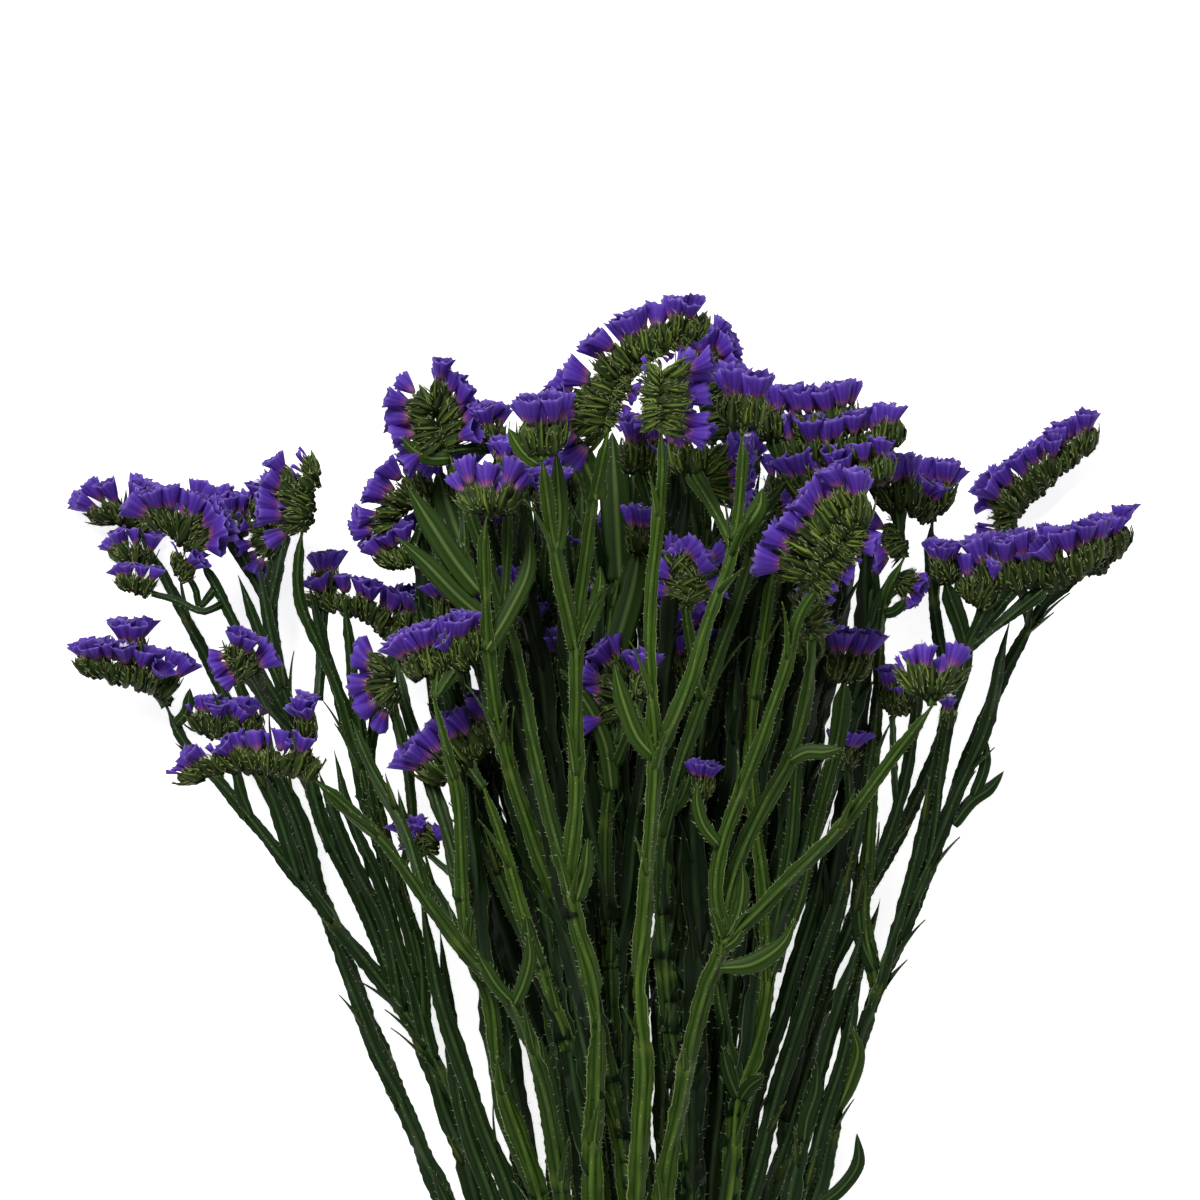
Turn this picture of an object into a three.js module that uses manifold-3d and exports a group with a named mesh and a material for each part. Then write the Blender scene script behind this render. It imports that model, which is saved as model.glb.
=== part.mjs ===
// A cut bunch of statice, Limonium sinuatum, lying on a flat surface: winged green stems that
// fork into stalks, which end in one-sided flower heads of green bracts and violet papery calyxes.
// Millimetres, +Z up. +Y runs from the cut ends to the flowers.
// The origin is on the surface, under the middle of the bunch.
import * as THREE from "three";
import { ConvexGeometry } from "three/addons/geometries/ConvexGeometry.js";
import { mergeVertices } from "three/addons/utils/BufferGeometryUtils.js";
import Module from "manifold-3d";

const wasm = await Module();
wasm.setup();

// Stems and heads are traced in pixels of a square picture, taken straight down on the bunch.
const PIXELS_PER_MM = 3.3; // at the middle height of the flowers
const PICTURE_CENTRE = 600;
const EYE_HEIGHT = 1570; // millimetres above the surface
const TRACED_HEIGHT = 70; // where PIXELS_PER_MM holds
const CENTRE_TO_ORIGIN_X = 1.55; // where the picture's centre lies in the part's frame
const CENTRE_TO_ORIGIN_Y = 186.4;

const NECK_TOP = 1500; // the stems are gathered between these two rows of pixels
const NECK_BOTTOM = 1610;
const CUT_ENDS = 2030;
const UNEVEN_CUT = 22; // no two stems are cut to quite the same length
const NECK_CENTRE = 630;
const STEM_PITCH = 8.5; // from stem to stem across the neck
const CUT_PITCH = 9.8; // and at the cut ends
const ROW_PITCH = 5.15; // from row to row, upwards, at the neck
const LOWEST_ROW = 2.4;
const ROW_STAGGER = 0.1; // of a pitch, to the left and right in turn

const WING_SPAN = 7.8; // across both wings of a main stem
const RIB_THICKNESS = 4.4;
const WING_EDGE = 0.9;
const BRANCH_SCALE = 0.82; // a branch against a main stem
const STALK_SCALE = 0.66; // a head's own stalk against a main stem
const SEAT_GAP = 0.35; // between a piece and what carries it
const STEM_STEP = 30; // one ring of a stem's surface for each of these millimetres
const LEAF_WIDTH = 7;
const LEAF_THICKNESS = 1.6;
const HEAD_REACH = 16.5; // from the spike's axis to the calyx rims
const HEAD_HALF_DEPTH = 9.5;
const SPIKE_BACK = 3.2; // from the spike's axis to the back of its bracts
const SLIVER = 0.12; // thinner facets along a seam are smoothed away

// A picture point at a height above the surface, in the part's frame.
function place([u, v], height) {
  const mmPerPixel = (EYE_HEIGHT - height) / (EYE_HEIGHT - TRACED_HEIGHT) / PIXELS_PER_MM;
  return new THREE.Vector3(
    (u - PICTURE_CENTRE) * mmPerPixel + CENTRE_TO_ORIGIN_X,
    (PICTURE_CENTRE - v) * mmPerPixel + CENTRE_TO_ORIGIN_Y,
    height,
  );
}

// Main stems: the row and slot where each is gathered, the height of its top, and its traced route
// from the picture's lower edge up. A third number on a point fixes the height there.
const STEMS = {
  stem_01: {
    row: 0, slot: -1.5, top: 10,
    route: [
      [445, 1200], [402, 1105], [372, 1030], [350, 970], [308, 868], [252, 750], [192, 630], [150, 548],
    ],
  },
  stem_02: {
    row: 1, slot: -1.5, top: 24,
    route: [
      [520, 1200], [478, 1140], [428, 1050], [405, 1012], [335, 925], [245, 812], [185, 742],
      [166, 706],
    ],
  },
  stem_03: {
    row: 3, slot: -1.5, top: 88,
    route: [
      [562, 1200], [552, 1130], [537, 1065], [513, 1005], [465, 952], [385, 845], [345, 805],
      [314, 779],
    ],
  },
  stem_04: {
    row: 2, slot: -0.5, top: 62,
    route: [
      [603, 1200], [585, 1110], [563, 1030], [540, 965], [519, 900], [502, 840], [484, 788],
    ],
  },
  stem_05: {
    row: 3, slot: -0.5, top: 106,
    route: [
      [592, 1200], [597, 1040], [592, 980], [577, 925], [570, 880], [576, 800], [577, 645], [592, 510],
      [600, 470], [608, 432],
    ],
  },
  stem_06: {
    row: 3, slot: 0.5, top: 126,
    route: [
      [636, 1200], [644, 1080], [640, 980], [652, 810], [655, 757], [650, 620], [662, 470], [661, 430],
    ],
  },
  stem_07: {
    row: 3, slot: 1.5, top: 114,
    route: [
      [664, 1200], [680, 1100], [705, 990], [722, 945], [716, 890], [722, 845], [763, 735], [785, 670],
      [800, 615], [822, 582],
    ],
  },
  stem_08: {
    row: 2, slot: 1.5, top: 70,
    route: [
      [690, 1200], [680, 1100], [668, 1000], [662, 900], [668, 810], [700, 710], [748, 570], [765, 510],
      [786, 480],
    ],
  },
  stem_09: {
    row: 1, slot: 1.5, top: 28,
    route: [
      [815, 1200], [835, 1110], [880, 985], [930, 865], [975, 740], [1022, 640], [1046, 602],
      [1086, 574],
    ],
  },
  stem_10: {
    row: 0, slot: 1.5, top: 30,
    route: [
      [782, 1200], [786, 1100], [795, 1040], [858, 910], [915, 800], [940, 745], [948, 690], [938, 630],
      [930, 560], [932, 522],
    ],
  },
  stem_11: {
    row: 2, slot: -1.5, top: 84,
    route: [
      [540, 1200], [500, 1080], [490, 1000], [470, 950], [462, 880], [458, 800], [445, 740], [434, 698],
    ],
  },
  stem_12: {
    row: 2, slot: 0.5, top: 102,
    route: [
      [628, 1200], [612, 1100], [592, 1000], [562, 920, 52], [510, 770], [494, 700], [484, 550],
      [486, 518],
    ],
  },
  stem_13: {
    row: 1, slot: -0.5, top: 56,
    route: [
      [620, 1200], [612, 1000], [605, 880], [608, 800], [620, 744],
    ],
  },
  stem_14: {
    row: 0, slot: 0.5, top: 48,
    route: [
      [700, 1200], [695, 1050], [690, 900], [690, 780], [695, 650], [705, 560], [712, 445],
    ],
  },
  stem_15: {
    row: 0, slot: -0.5, top: 42,
    route: [
      [558, 1200, 5], [556, 1050], [548, 900], [535, 740], [542, 620], [548, 528],
    ],
  },
  stem_16: {
    row: 1, slot: 0.5, top: 58,
    route: [
      [728, 1200], [740, 1095], [757, 1045], [768, 980], [765, 900], [750, 760], [765, 620], [774, 566],
    ],
  },
};

// Branches: the stem that carries each, the height of its top, and its route from the joint up.
const BRANCHES = {
  branch_01: {
    from: "stem_02", top: 40,
    route: [
      [402, 1008], [372, 925], [325, 830], [300, 745], [250, 655], [210, 575], [200, 556],
    ],
  },
  branch_02: {
    from: "stem_02", top: 60,
    route: [
      [424, 1042], [420, 960], [392, 870], [358, 755], [338, 690], [300, 600], [298, 560], [302, 532],
    ],
  },
  branch_03: {
    from: "stem_05", top: 126,
    route: [
      [577, 650], [565, 600], [553, 540], [545, 480], [542, 460],
    ],
  },
  branch_04: {
    from: "stem_06", top: 112,
    route: [
      [655, 762], [690, 680], [712, 610], [733, 550], [742, 470], [742, 434],
    ],
  },
  branch_05: {
    from: "stem_07", top: 110,
    route: [
      [718, 950], [780, 888], [840, 828], [895, 755], [932, 706],
    ],
  },
  branch_06: {
    from: "stem_09", top: 50,
    route: [
      [878, 990], [864, 920], [868, 850], [877, 700], [885, 600], [904, 558],
    ],
  },
  branch_07: {
    from: "stem_05", top: 76,
    route: [
      [570, 892], [545, 800], [512, 640], [472, 520], [448, 450],
    ],
  },
  branch_08: { from: "stem_12", top: 58, route: [[500, 735], [474, 640], [452, 560], [426, 510]] },
};

// Flower heads. Each hangs on a stem or branch, at its top or, with a stalk, at a joint lower down.
// A spike is its axis as three picture points, and the side of that axis, seen from its base, that
// flowers: 1 is right, -1 is left.
const HEADS = {
  flower_head_01: { on: "stem_01", height: 9.7, spikes: [
    { axis: [[142, 537], [122, 520], [98, 526]], side: 1 },
    { axis: [[150, 572], [128, 566], [108, 560]], side: 1 },
  ] },
  flower_head_02: { on: "stem_02", height: 24, spikes: [
    { axis: [[162, 700], [140, 676], [88, 668]], side: 1 },
  ] },
  flower_head_03: { on: "stem_03", height: 88, spikes: [
    { axis: [[308, 774], [250, 752], [192, 772]], side: 1 },
    { axis: [[318, 766], [306, 745], [300, 730]], side: 1 },
  ] },
  flower_head_04: { on: "stem_04", height: 59, spikes: [
    { axis: [[480, 778], [465, 766], [440, 765]], side: 1 },
  ] },
  flower_head_05: { on: "stem_11", height: 84, spikes: [
    { axis: [[430, 690], [410, 676], [398, 664]], side: 1 },
    { axis: [[434, 690], [440, 668], [455, 658]], side: -1 },
  ] },
  flower_head_06: { on: "stem_05", height: 105, spikes: [
    { axis: [[610, 422], [604, 350], [688, 340]], side: -1 },
    { axis: [[600, 432], [580, 416], [584, 392]], side: -1 },
  ] },
  flower_head_07: { on: "branch_03", height: 126, spikes: [
    { axis: [[541, 452], [532, 438], [518, 430]], side: 1 },
    { axis: [[543, 452], [552, 438], [562, 432]], side: -1 },
  ] },
  flower_head_08: { on: "stem_06", height: 128, spikes: [
    { axis: [[661, 422], [655, 382], [668, 364]], side: 1 },
  ] },
  flower_head_09: { on: "stem_14", height: 48, spikes: [
    { axis: [[712, 436], [705, 390], [702, 350]], side: 1 },
  ] },
  flower_head_10: { on: "branch_04", height: 112, spikes: [
    { axis: [[741, 428], [735, 415], [728, 408]], side: 1 },
    { axis: [[743, 428], [750, 415], [758, 406]], side: -1 },
  ] },
  flower_head_11: { on: "branch_04", height: 90, stalk: [[733, 548], [714, 508]], spikes: [
    { axis: [[702, 480], [690, 460], [682, 448]], side: -1 },
    { axis: [[704, 482], [712, 460], [716, 450]], side: 1 },
  ] },
  flower_head_12: { on: "stem_07", height: 114, spikes: [
    { axis: [[826, 574], [812, 530], [800, 505]], side: -1 },
    { axis: [[832, 572], [848, 530], [850, 505]], side: 1 },
    { axis: [[820, 582], [795, 565], [783, 555]], side: 1 },
  ] },
  flower_head_13: { on: "branch_05", height: 110, spikes: [
    { axis: [[932, 698], [918, 675], [915, 660]], side: -1 },
    { axis: [[938, 698], [950, 675], [950, 662]], side: 1 },
  ] },
  flower_head_14: { on: "stem_08", height: 70, spikes: [
    { axis: [[776, 462], [774, 445], [774, 428]], side: -1 },
    { axis: [[803, 470], [800, 450], [800, 432]], side: 1 },
    { axis: [[838, 468], [836, 455], [835, 440]], side: 1 },
    { axis: [[850, 465], [880, 452], [893, 445]], side: -1 },
  ] },
  flower_head_15: { on: "branch_06", height: 50, spikes: [
    { axis: [[902, 550], [892, 542], [882, 536]], side: 1 },
  ] },
  flower_head_16: { on: "stem_09", height: 49.5, stalk: [[928, 868], [950, 720], [965, 650]], spikes: [
    { axis: [[952, 596], [948, 580], [946, 567]], side: 1 },
    { axis: [[1000, 600], [985, 585], [975, 575]], side: 1 },
    { axis: [[1010, 598], [1010, 575], [1010, 555]], side: 1 },
    { axis: [[1025, 590], [1045, 570], [1090, 552]], side: -1 },
  ] },
  flower_head_17: { on: "stem_09", height: 9.7, stalk: [[1030, 625], [1018, 570]], spikes: [
    { axis: [[1010, 530], [1006, 505], [1004, 490]], side: -1 },
    { axis: [[1012, 522], [1035, 490], [1090, 445]], side: -1 },
  ] },
  flower_head_18: { on: "stem_09", height: 28, spikes: [
    { axis: [[1094, 568], [1110, 555], [1120, 540]], side: -1 },
  ] },
  flower_head_19: { on: "stem_10", height: 30, spikes: [
    { axis: [[930, 514], [926, 500], [922, 488]], side: 1 },
    { axis: [[936, 514], [948, 505], [955, 500]], side: -1 },
  ] },
  flower_head_20: { on: "stem_16", height: 72, stalk: [[767, 985], [800, 900], [818, 820], [838, 735]], spikes: [
    { axis: [[850, 690], [838, 668], [832, 657]], side: 1 },
    { axis: [[853, 690], [862, 668], [866, 658]], side: -1 },
  ] },
  flower_head_21: { on: "stem_12", height: 102, spikes: [
    { axis: [[483, 510], [474, 497], [466, 488]], side: 1 },
    { axis: [[488, 510], [502, 497], [512, 492]], side: -1 },
  ] },
  flower_head_22: { on: "branch_07", height: 76, spikes: [
    { axis: [[443, 442], [424, 422], [416, 410]], side: -1 },
    { axis: [[450, 440], [452, 410], [456, 398]], side: 1 },
    { axis: [[462, 446], [480, 440], [484, 424]], side: 1 },
  ] },
  flower_head_23: { on: "branch_08", height: 56, spikes: [
    { axis: [[420, 504], [408, 492], [402, 482]], side: 1 },
    { axis: [[415, 528], [398, 526], [390, 518]], side: 1 },
    { axis: [[412, 556], [396, 566], [384, 562]], side: 1 },
  ] },
  flower_head_24: { on: "branch_02", height: 38, stalk: [[374, 822], [372, 740], [386, 680]], spikes: [
    { axis: [[396, 640], [365, 600], [312, 602]], side: 1 },
    { axis: [[400, 640], [410, 622], [412, 610]], side: 1 },
  ] },
  flower_head_25: { on: "branch_02", height: 62, stalk: [[394, 892], [412, 830], [402, 740]], spikes: [
    { axis: [[397, 702], [382, 684], [384, 664]], side: -1 },
  ] },
  flower_head_26: { on: "branch_01", height: 40, spikes: [
    { axis: [[196, 548], [176, 528], [160, 520]], side: 1 },
    { axis: [[203, 548], [206, 522], [208, 512]], side: 1 },
  ] },
  flower_head_27: { on: "branch_01", height: 20, stalk: [[306, 762], [285, 690], [270, 610]], spikes: [
    { axis: [[234, 566], [226, 542], [222, 525]], side: 1 },
    { axis: [[280, 552], [268, 522], [258, 508]], side: 1 },
    { axis: [[270, 568], [255, 550], [244, 540]], side: -1 },
  ] },
  flower_head_28: { on: "branch_02", height: 60, spikes: [
    { axis: [[303, 524], [300, 490], [312, 465]], side: -1 },
  ] },
  flower_head_29: { on: "branch_01", height: 64, stalk: [[296, 738], [268, 705]], spikes: [
    { axis: [[246, 670], [230, 660], [224, 654]], side: -1 },
    { axis: [[248, 668], [240, 650], [240, 642]], side: 1 },
  ] },
  flower_head_30: { on: "stem_13", height: 56, spikes: [
    { axis: [[622, 738], [612, 712], [620, 690]], side: -1 },
  ] },
  flower_head_31: { on: "stem_14", height: 42, stalk: [[690, 760], [686, 720]], spikes: [
    { axis: [[684, 690], [680, 672], [676, 658]], side: -1 },
  ] },
  flower_head_32: { on: "stem_14", height: 62, stalk: [[698, 620], [664, 540]], spikes: [
    { axis: [[642, 474], [638, 450], [638, 440]], side: -1 },
  ] },
  flower_head_33: { on: "stem_15", height: 42, spikes: [
    { axis: [[548, 518], [549, 504], [550, 492]], side: -1 },
  ] },
  flower_head_34: { on: "stem_16", height: 57, spikes: [
    { axis: [[775, 558], [772, 530], [770, 510]], side: 1 },
  ] },
};

// Leaves: the stem that carries each, how far its foot and tip rise above the stem, and its route.
const LEAVES = {
  leaf_01: { on: "stem_09", rise: [1, 9], route: [[838, 1110], [850, 1080], [858, 1050], [850, 1025]] },
  leaf_02: { on: "stem_07", rise: [3, 8], route: [[720, 968], [752, 964], [782, 944], [796, 918]] },
};

const LEAF_GREEN = new THREE.Color(0x3f5422);
const BRACT_GREEN = new THREE.Color(0x4f5f2a);
const HEAD_VIOLET = new THREE.Color(0x5b35a8);

// A smooth curve whose frames stay level, so that the wings lie flat, and shrink along the curve.
class LevelCurve extends THREE.CatmullRomCurve3 {
  constructor(points, taper) {
    super(points, false, "centripetal");
    this.taper = taper;
  }

  computeFrenetFrames(segments) {
    const frames = { tangents: [], normals: [], binormals: [] };
    for (let i = 0; i <= segments; i++) {
      const tangent = this.getTangentAt(i / segments);
      const across = new THREE.Vector3(0, 0, 1).cross(tangent).normalize();
      const upright = tangent.clone().cross(across);
      const size = this.taper(i / segments);
      frames.tangents.push(tangent);
      frames.normals.push(across.multiplyScalar(size));
      frames.binormals.push(upright.multiplyScalar(size));
    }
    return frames;
  }
}

// A stem's cross-section: a round rib with a flat wing on each side, grown by a margin.
function wingedSection(margin) {
  const wing = WING_SPAN / 2 + margin;
  const edge = WING_EDGE / 2 + margin;
  const rib = RIB_THICKNESS / 2 + margin;
  const ribHalf = rib * 0.62;
  return new THREE.Shape([
    new THREE.Vector2(-wing, -edge),
    new THREE.Vector2(-ribHalf, -rib),
    new THREE.Vector2(ribHalf, -rib),
    new THREE.Vector2(wing, -edge),
    new THREE.Vector2(wing, edge),
    new THREE.Vector2(ribHalf, rib),
    new THREE.Vector2(-ribHalf, rib),
    new THREE.Vector2(-wing, edge),
  ]);
}

// A closed geometry as a solid that can be joined and cut.
function solidOf(geometry) {
  const bare = geometry.clone();
  bare.deleteAttribute("normal");
  bare.deleteAttribute("uv");
  const merged = mergeVertices(bare, 1e-4);
  return new wasm.Manifold(new wasm.Mesh({
    numProp: 3,
    vertProperties: new Float32Array(merged.attributes.position.array),
    triVerts: new Uint32Array(merged.index.array),
  }));
}

function geometryOf(solid) {
  const mesh = solid.getMesh();
  const geometry = new THREE.BufferGeometry();
  geometry.setAttribute("position", new THREE.BufferAttribute(new Float32Array(mesh.vertProperties), 3));
  geometry.setIndex(new THREE.BufferAttribute(new Uint32Array(mesh.triVerts), 1));
  geometry.computeVertexNormals();
  return geometry;
}

// Cutting can leave crumbs beside a wing and slivers along a seam: the piece itself is the largest body.
function largestBody(solid) {
  const bodies = solid.simplify(SLIVER).decompose();
  return bodies.reduce((best, body) => (body.volume() > best.volume() ? body : best));
}

// A winged shaft through the points. With a margin it is the larger shaft that cuts a seat beside it.
function shaft(points, scale, margin = 0) {
  const route = points.map((p) => p.clone());
  if (margin) {
    const end = route.at(-1);
    end.add(end.clone().sub(route.at(-2)).setLength(margin));
  }
  const curve = new LevelCurve(route, (t) => scale * (1 - 0.2 * t));
  const steps = Math.max(3, Math.round(curve.getLength() / STEM_STEP));
  return solidOf(new THREE.ExtrudeGeometry(wingedSection(margin), { steps, extrudePath: curve }));
}

// Heights rise along a route in step with the picture's rows of pixels. A point may fix its own height.
function raised(route, first, last) {
  const fixed = route.map(([, v, height], i) => {
    if (i === 0) return { v, height: first };
    return { v, height: i === route.length - 1 ? last : height };
  });
  const known = fixed.filter(({ height }) => height !== undefined);
  return route.map((point) => {
    const above = Math.max(1, known.findIndex(({ v }) => v <= point[1]));
    const [lower, upper] = [known[above - 1], known[above]];
    const height = THREE.MathUtils.mapLinear(point[1], lower.v, upper.v, lower.height, upper.height);
    return place(point, height);
  });
}

// A main stem: cut end, gathered neck, then the traced route.
function stemPoints({ row, slot, top, route }) {
  const height = LOWEST_ROW + ROW_PITCH * row;
  const stagger = row % 2 ? ROW_STAGGER : -ROW_STAGGER;
  const gathered = (v, pitch) => {
    const point = place([NECK_CENTRE, v], height);
    point.x += (slot + stagger) * pitch;
    return point;
  };
  const neck = [NECK_CENTRE, NECK_TOP];
  const climbing = raised([neck, ...route], height, top).slice(1);
  const cutEnd = CUT_ENDS + UNEVEN_CUT * Math.sin(7 * slot + 3 * row);
  return [
    gathered(cutEnd, CUT_PITCH),
    gathered(NECK_BOTTOM, STEM_PITCH),
    gathered(NECK_TOP, STEM_PITCH),
    ...climbing,
  ];
}

// The height of a carrier's centre line where it passes a row of pixels.
function heightAt(points, [u, v]) {
  let best = points[0];
  const curve = new THREE.CatmullRomCurve3(points, false, "centripetal");
  let nearest = Infinity;
  for (let i = 0; i <= 200; i++) {
    const p = curve.getPoint(i / 200);
    const seen = place([u, v], p.z);
    const distance = Math.hypot(p.x - seen.x, p.y - seen.y);
    if (distance < nearest) {
      nearest = distance;
      best = p;
    }
  }
  return best.z;
}

const PATHS = new Map();
for (const [name, stem] of Object.entries(STEMS)) PATHS.set(name, { points: stemPoints(stem), scale: 1 });
for (const [name, { from, top, route }] of Object.entries(BRANCHES)) {
  const joint = heightAt(PATHS.get(from).points, route[0]);
  PATHS.set(name, { points: raised(route, joint, top), scale: BRANCH_SCALE });
}

// One slice across a spike, a share of the way along its axis: its back, its rims and its widest places.
function spikeSlice(curve, side, share) {
  const at = curve.getPoint(share);
  const along = curve.getTangent(share);
  const out = new THREE.Vector3(along.y, -along.x, 0).multiplyScalar(side).normalize();
  const lean = THREE.MathUtils.degToRad(-10 + 60 * share);
  const reach = out.clone().multiplyScalar(Math.cos(lean)).addScaledVector(along, Math.sin(lean));
  reach.multiplyScalar(HEAD_REACH * (1 - 0.35 * share)); // the youngest calyxes are at the tip
  const slice = [];
  for (const depth of [-0.45, 0.45]) {
    slice.push(at.clone().addScaledVector(out, -SPIKE_BACK).setZ(at.z + depth * HEAD_HALF_DEPTH));
    slice.push(at.clone().add(reach).setZ(at.z + depth * HEAD_HALF_DEPTH));
  }
  for (const depth of [-1, 1]) {
    slice.push(at.clone().addScaledVector(reach, 0.55).setZ(at.z + depth * HEAD_HALF_DEPTH));
  }
  return slice;
}

// A spike as overlapping convex lumps, so that a long one keeps its bend.
function spikeSolid({ axis, side }, height) {
  const curve = new THREE.QuadraticBezierCurve3(...axis.map((point) => place(point, height)));
  const lumps = curve.getLength() > 20 ? 3 : 1;
  let solid = null;
  for (let i = 0; i < lumps; i++) {
    const shares = [i / lumps, (i + 0.5) / lumps, (i + 1) / lumps];
    if (i + 1 < lumps) shares.push((i + 1.2) / lumps);
    const lump = solidOf(new ConvexGeometry(shares.flatMap((share) => spikeSlice(curve, side, share))));
    solid = solid ? solid.add(lump) : lump;
  }
  return solid;
}

// A leaf: a thin blade, widest a third of the way along.
function leafSolid({ on, rise, route }) {
  const carrier = PATHS.get(on);
  const foot = heightAt(carrier.points, route[0]);
  const last = route.length - 1;
  const points = route.map((point, i) => place(point, foot + THREE.MathUtils.lerp(...rise, i / last)));
  const width = LEAF_WIDTH / 2;
  const section = new THREE.Shape([
    new THREE.Vector2(-width, 0),
    new THREE.Vector2(0, -LEAF_THICKNESS / 2),
    new THREE.Vector2(width, 0),
    new THREE.Vector2(0, LEAF_THICKNESS / 2),
  ]);
  const curve = new LevelCurve(points, (t) => 0.35 + 0.65 * Math.sin(Math.PI * (0.2 + 0.78 * t)));
  const blade = solidOf(new THREE.ExtrudeGeometry(section, { steps: 8, extrudePath: curve }));
  return largestBody(blade.subtract(shaft(carrier.points, carrier.scale, SEAT_GAP)));
}

// The stalks that carry a head's spikes: from the carrier's top, or from a foot lower down on it.
function stalkPaths({ height, stalk, spikes }, carrier) {
  const ends = spikes.map(({ axis }) => [place(axis[0], height), place(axis[1], height)]);
  const fork = (start, [seat, middle]) => [start, start.clone().lerp(seat, 0.5), seat, middle];
  if (!stalk) return ends.map((end) => fork(carrier.points.at(-1), end));
  const foot = heightAt(carrier.points, stalk[0]);
  const main = raised([...stalk, ...spikes[0].axis.slice(0, 2)], foot, height);
  return [main, ...ends.slice(1).map((end) => fork(main[stalk.length - 1], end))];
}

// A head with its stalks, cut back so that it seats on its carrier.
function headSolid(head) {
  const carrier = PATHS.get(head.on);
  const stalks = stalkPaths(head, carrier).map((path) => shaft(path, STALK_SCALE));
  const spikes = head.spikes.map((spike) => spikeSolid(spike, head.height));
  const joined = wasm.Manifold.union([...stalks, ...spikes]);
  return largestBody(joined.subtract(shaft(carrier.points, carrier.scale, SEAT_GAP)));
}

function addMesh(group, name, solid, colour, roughness) {
  const material = new THREE.MeshStandardMaterial({ color: colour, roughness, metalness: 0 });
  const mesh = new THREE.Mesh(geometryOf(solid), material);
  mesh.name = name;
  group.add(mesh);
}

const bunch = new THREE.Group();
bunch.name = "statice_bunch";
for (const name of Object.keys(STEMS)) {
  const { points, scale } = PATHS.get(name);
  addMesh(bunch, name, shaft(points, scale), LEAF_GREEN, 0.6);
}
for (const [name, { from }] of Object.entries(BRANCHES)) {
  const { points, scale } = PATHS.get(name);
  const carrier = PATHS.get(from);
  const cut = shaft(points, scale).subtract(shaft(carrier.points, carrier.scale, SEAT_GAP));
  addMesh(bunch, name, largestBody(cut), BRACT_GREEN, 0.6);
}
for (const [name, leaf] of Object.entries(LEAVES)) addMesh(bunch, name, leafSolid(leaf), LEAF_GREEN, 0.6);
for (const [name, head] of Object.entries(HEADS)) addMesh(bunch, name, headSolid(head), HEAD_VIOLET, 0.8);

export default bunch;
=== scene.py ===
import math

import bpy
import numpy as np
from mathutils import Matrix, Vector


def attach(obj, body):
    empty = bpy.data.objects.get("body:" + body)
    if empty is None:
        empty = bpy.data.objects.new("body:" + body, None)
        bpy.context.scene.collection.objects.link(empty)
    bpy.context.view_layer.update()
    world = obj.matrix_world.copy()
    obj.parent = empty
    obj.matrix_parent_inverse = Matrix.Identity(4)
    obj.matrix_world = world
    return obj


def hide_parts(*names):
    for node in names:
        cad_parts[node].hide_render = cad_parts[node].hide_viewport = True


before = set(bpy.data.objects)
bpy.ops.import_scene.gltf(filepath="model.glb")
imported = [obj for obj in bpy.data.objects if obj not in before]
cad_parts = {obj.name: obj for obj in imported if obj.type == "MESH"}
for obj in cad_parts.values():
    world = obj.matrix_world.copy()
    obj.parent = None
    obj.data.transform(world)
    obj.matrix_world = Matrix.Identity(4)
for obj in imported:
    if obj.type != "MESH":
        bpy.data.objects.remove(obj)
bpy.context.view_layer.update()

# A cut bunch of violet statice lying flat, seen from straight above.
# Routes and heads are traced in pixels of a square picture; sizes are in millimetres.
PIXELS_PER_MM = 3.3
PICTURE = 1200
PICTURE_CENTRE = PICTURE / 2
EYE_HEIGHT = 1570
TRACED_HEIGHT = 70
CENTRE_X = 1.55
CENTRE_Y = 186.4

# The neck and the cut ends, in picture rows below the picture's edge.
NECK_TOP = 1500
NECK_BOTTOM = 1610
CUT_ENDS = 2030
UNEVEN_CUT = 22
NECK_CENTRE = 630
STEM_PITCH = 8.5
CUT_PITCH = 9.8
ROW_PITCH = 5.15
LOWEST_ROW = 2.4
ROW_STAGGER = 0.1
PLAIN_BELOW = -10

# Stalks: the width over both wings, and the sizes of thinner stalks against a main stem.
WING_SPAN = 7.2
BRANCH_SCALE = 0.72
STALK_SCALE = 0.6
STALK_FLARE = 1.7
STEM_TAPER = 0.54
STALK_TAPER = 0.36
SHOOT_TAPER = 0.25
FILL_TAPER = 0.1
JOINT_SWELL = 2.0
STEM_STEP = 1.5
SHOOT_STEP = 2.1
TWIG_STEP = 1.6
FILL_STEP = 3.4

# Leaves, and the bracts at the joints. A leaf's style is the step along it, its thickness, its
# number of hairs, and its outline: how far along a half wave it starts, how full it is, and a power.
LEAF_STYLE = (1.6, 0.25, 40, (0.16, 1, 1))
SMALL_STYLE = (1.4, 0.2, 26, (0.2, 1.25, 0.8))
LEAF_WIDTH = 6.0
LEAF_SHADE = 0.5
LEAF_FOLD = 0.3
SMALL_LIFT = 1.5
BRACT_FOLD = 0.45
BRACT_OUTLINE = np.array([0.75, 1.0, 1.0, 0.9, 0.74, 0.56, 0.36, 0.18, 0.02])
INNER_BRACT_WIDTH = 4.6
BRISTLE = 0.06
STALK_BRISTLE = 0.1
HEAD_BRISTLE = 0.11

# Spikes of flowers. Lengths that follow are shares of the reach from the axis to the rims.
HEAD_REACH = 16
AXIS_RADIUS = 2.0
SPIKELET_PITCH = 2.15
BRACTS_PER_SPIKELET = 8
SPIKELET_LENGTH = (0.6, 0.7)
CALYX_LENGTH = (0.52, 0.60)
BUD_LENGTH = (0.36, 0.46)
CALYX_RADIUS = (3.5, 4.7)
BUD_RADIUS = (0.9, 1.7)
PAPER = 0.13
TWIN_SHARE = 0.12
BUD_SHARE = 0.8
COROLLA_SHARE = 0.03
COROLLA_RADIUS = 1.6
GOLDEN_TURN = 2.4

FLOOR_CLEARANCE = 0.25

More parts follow.
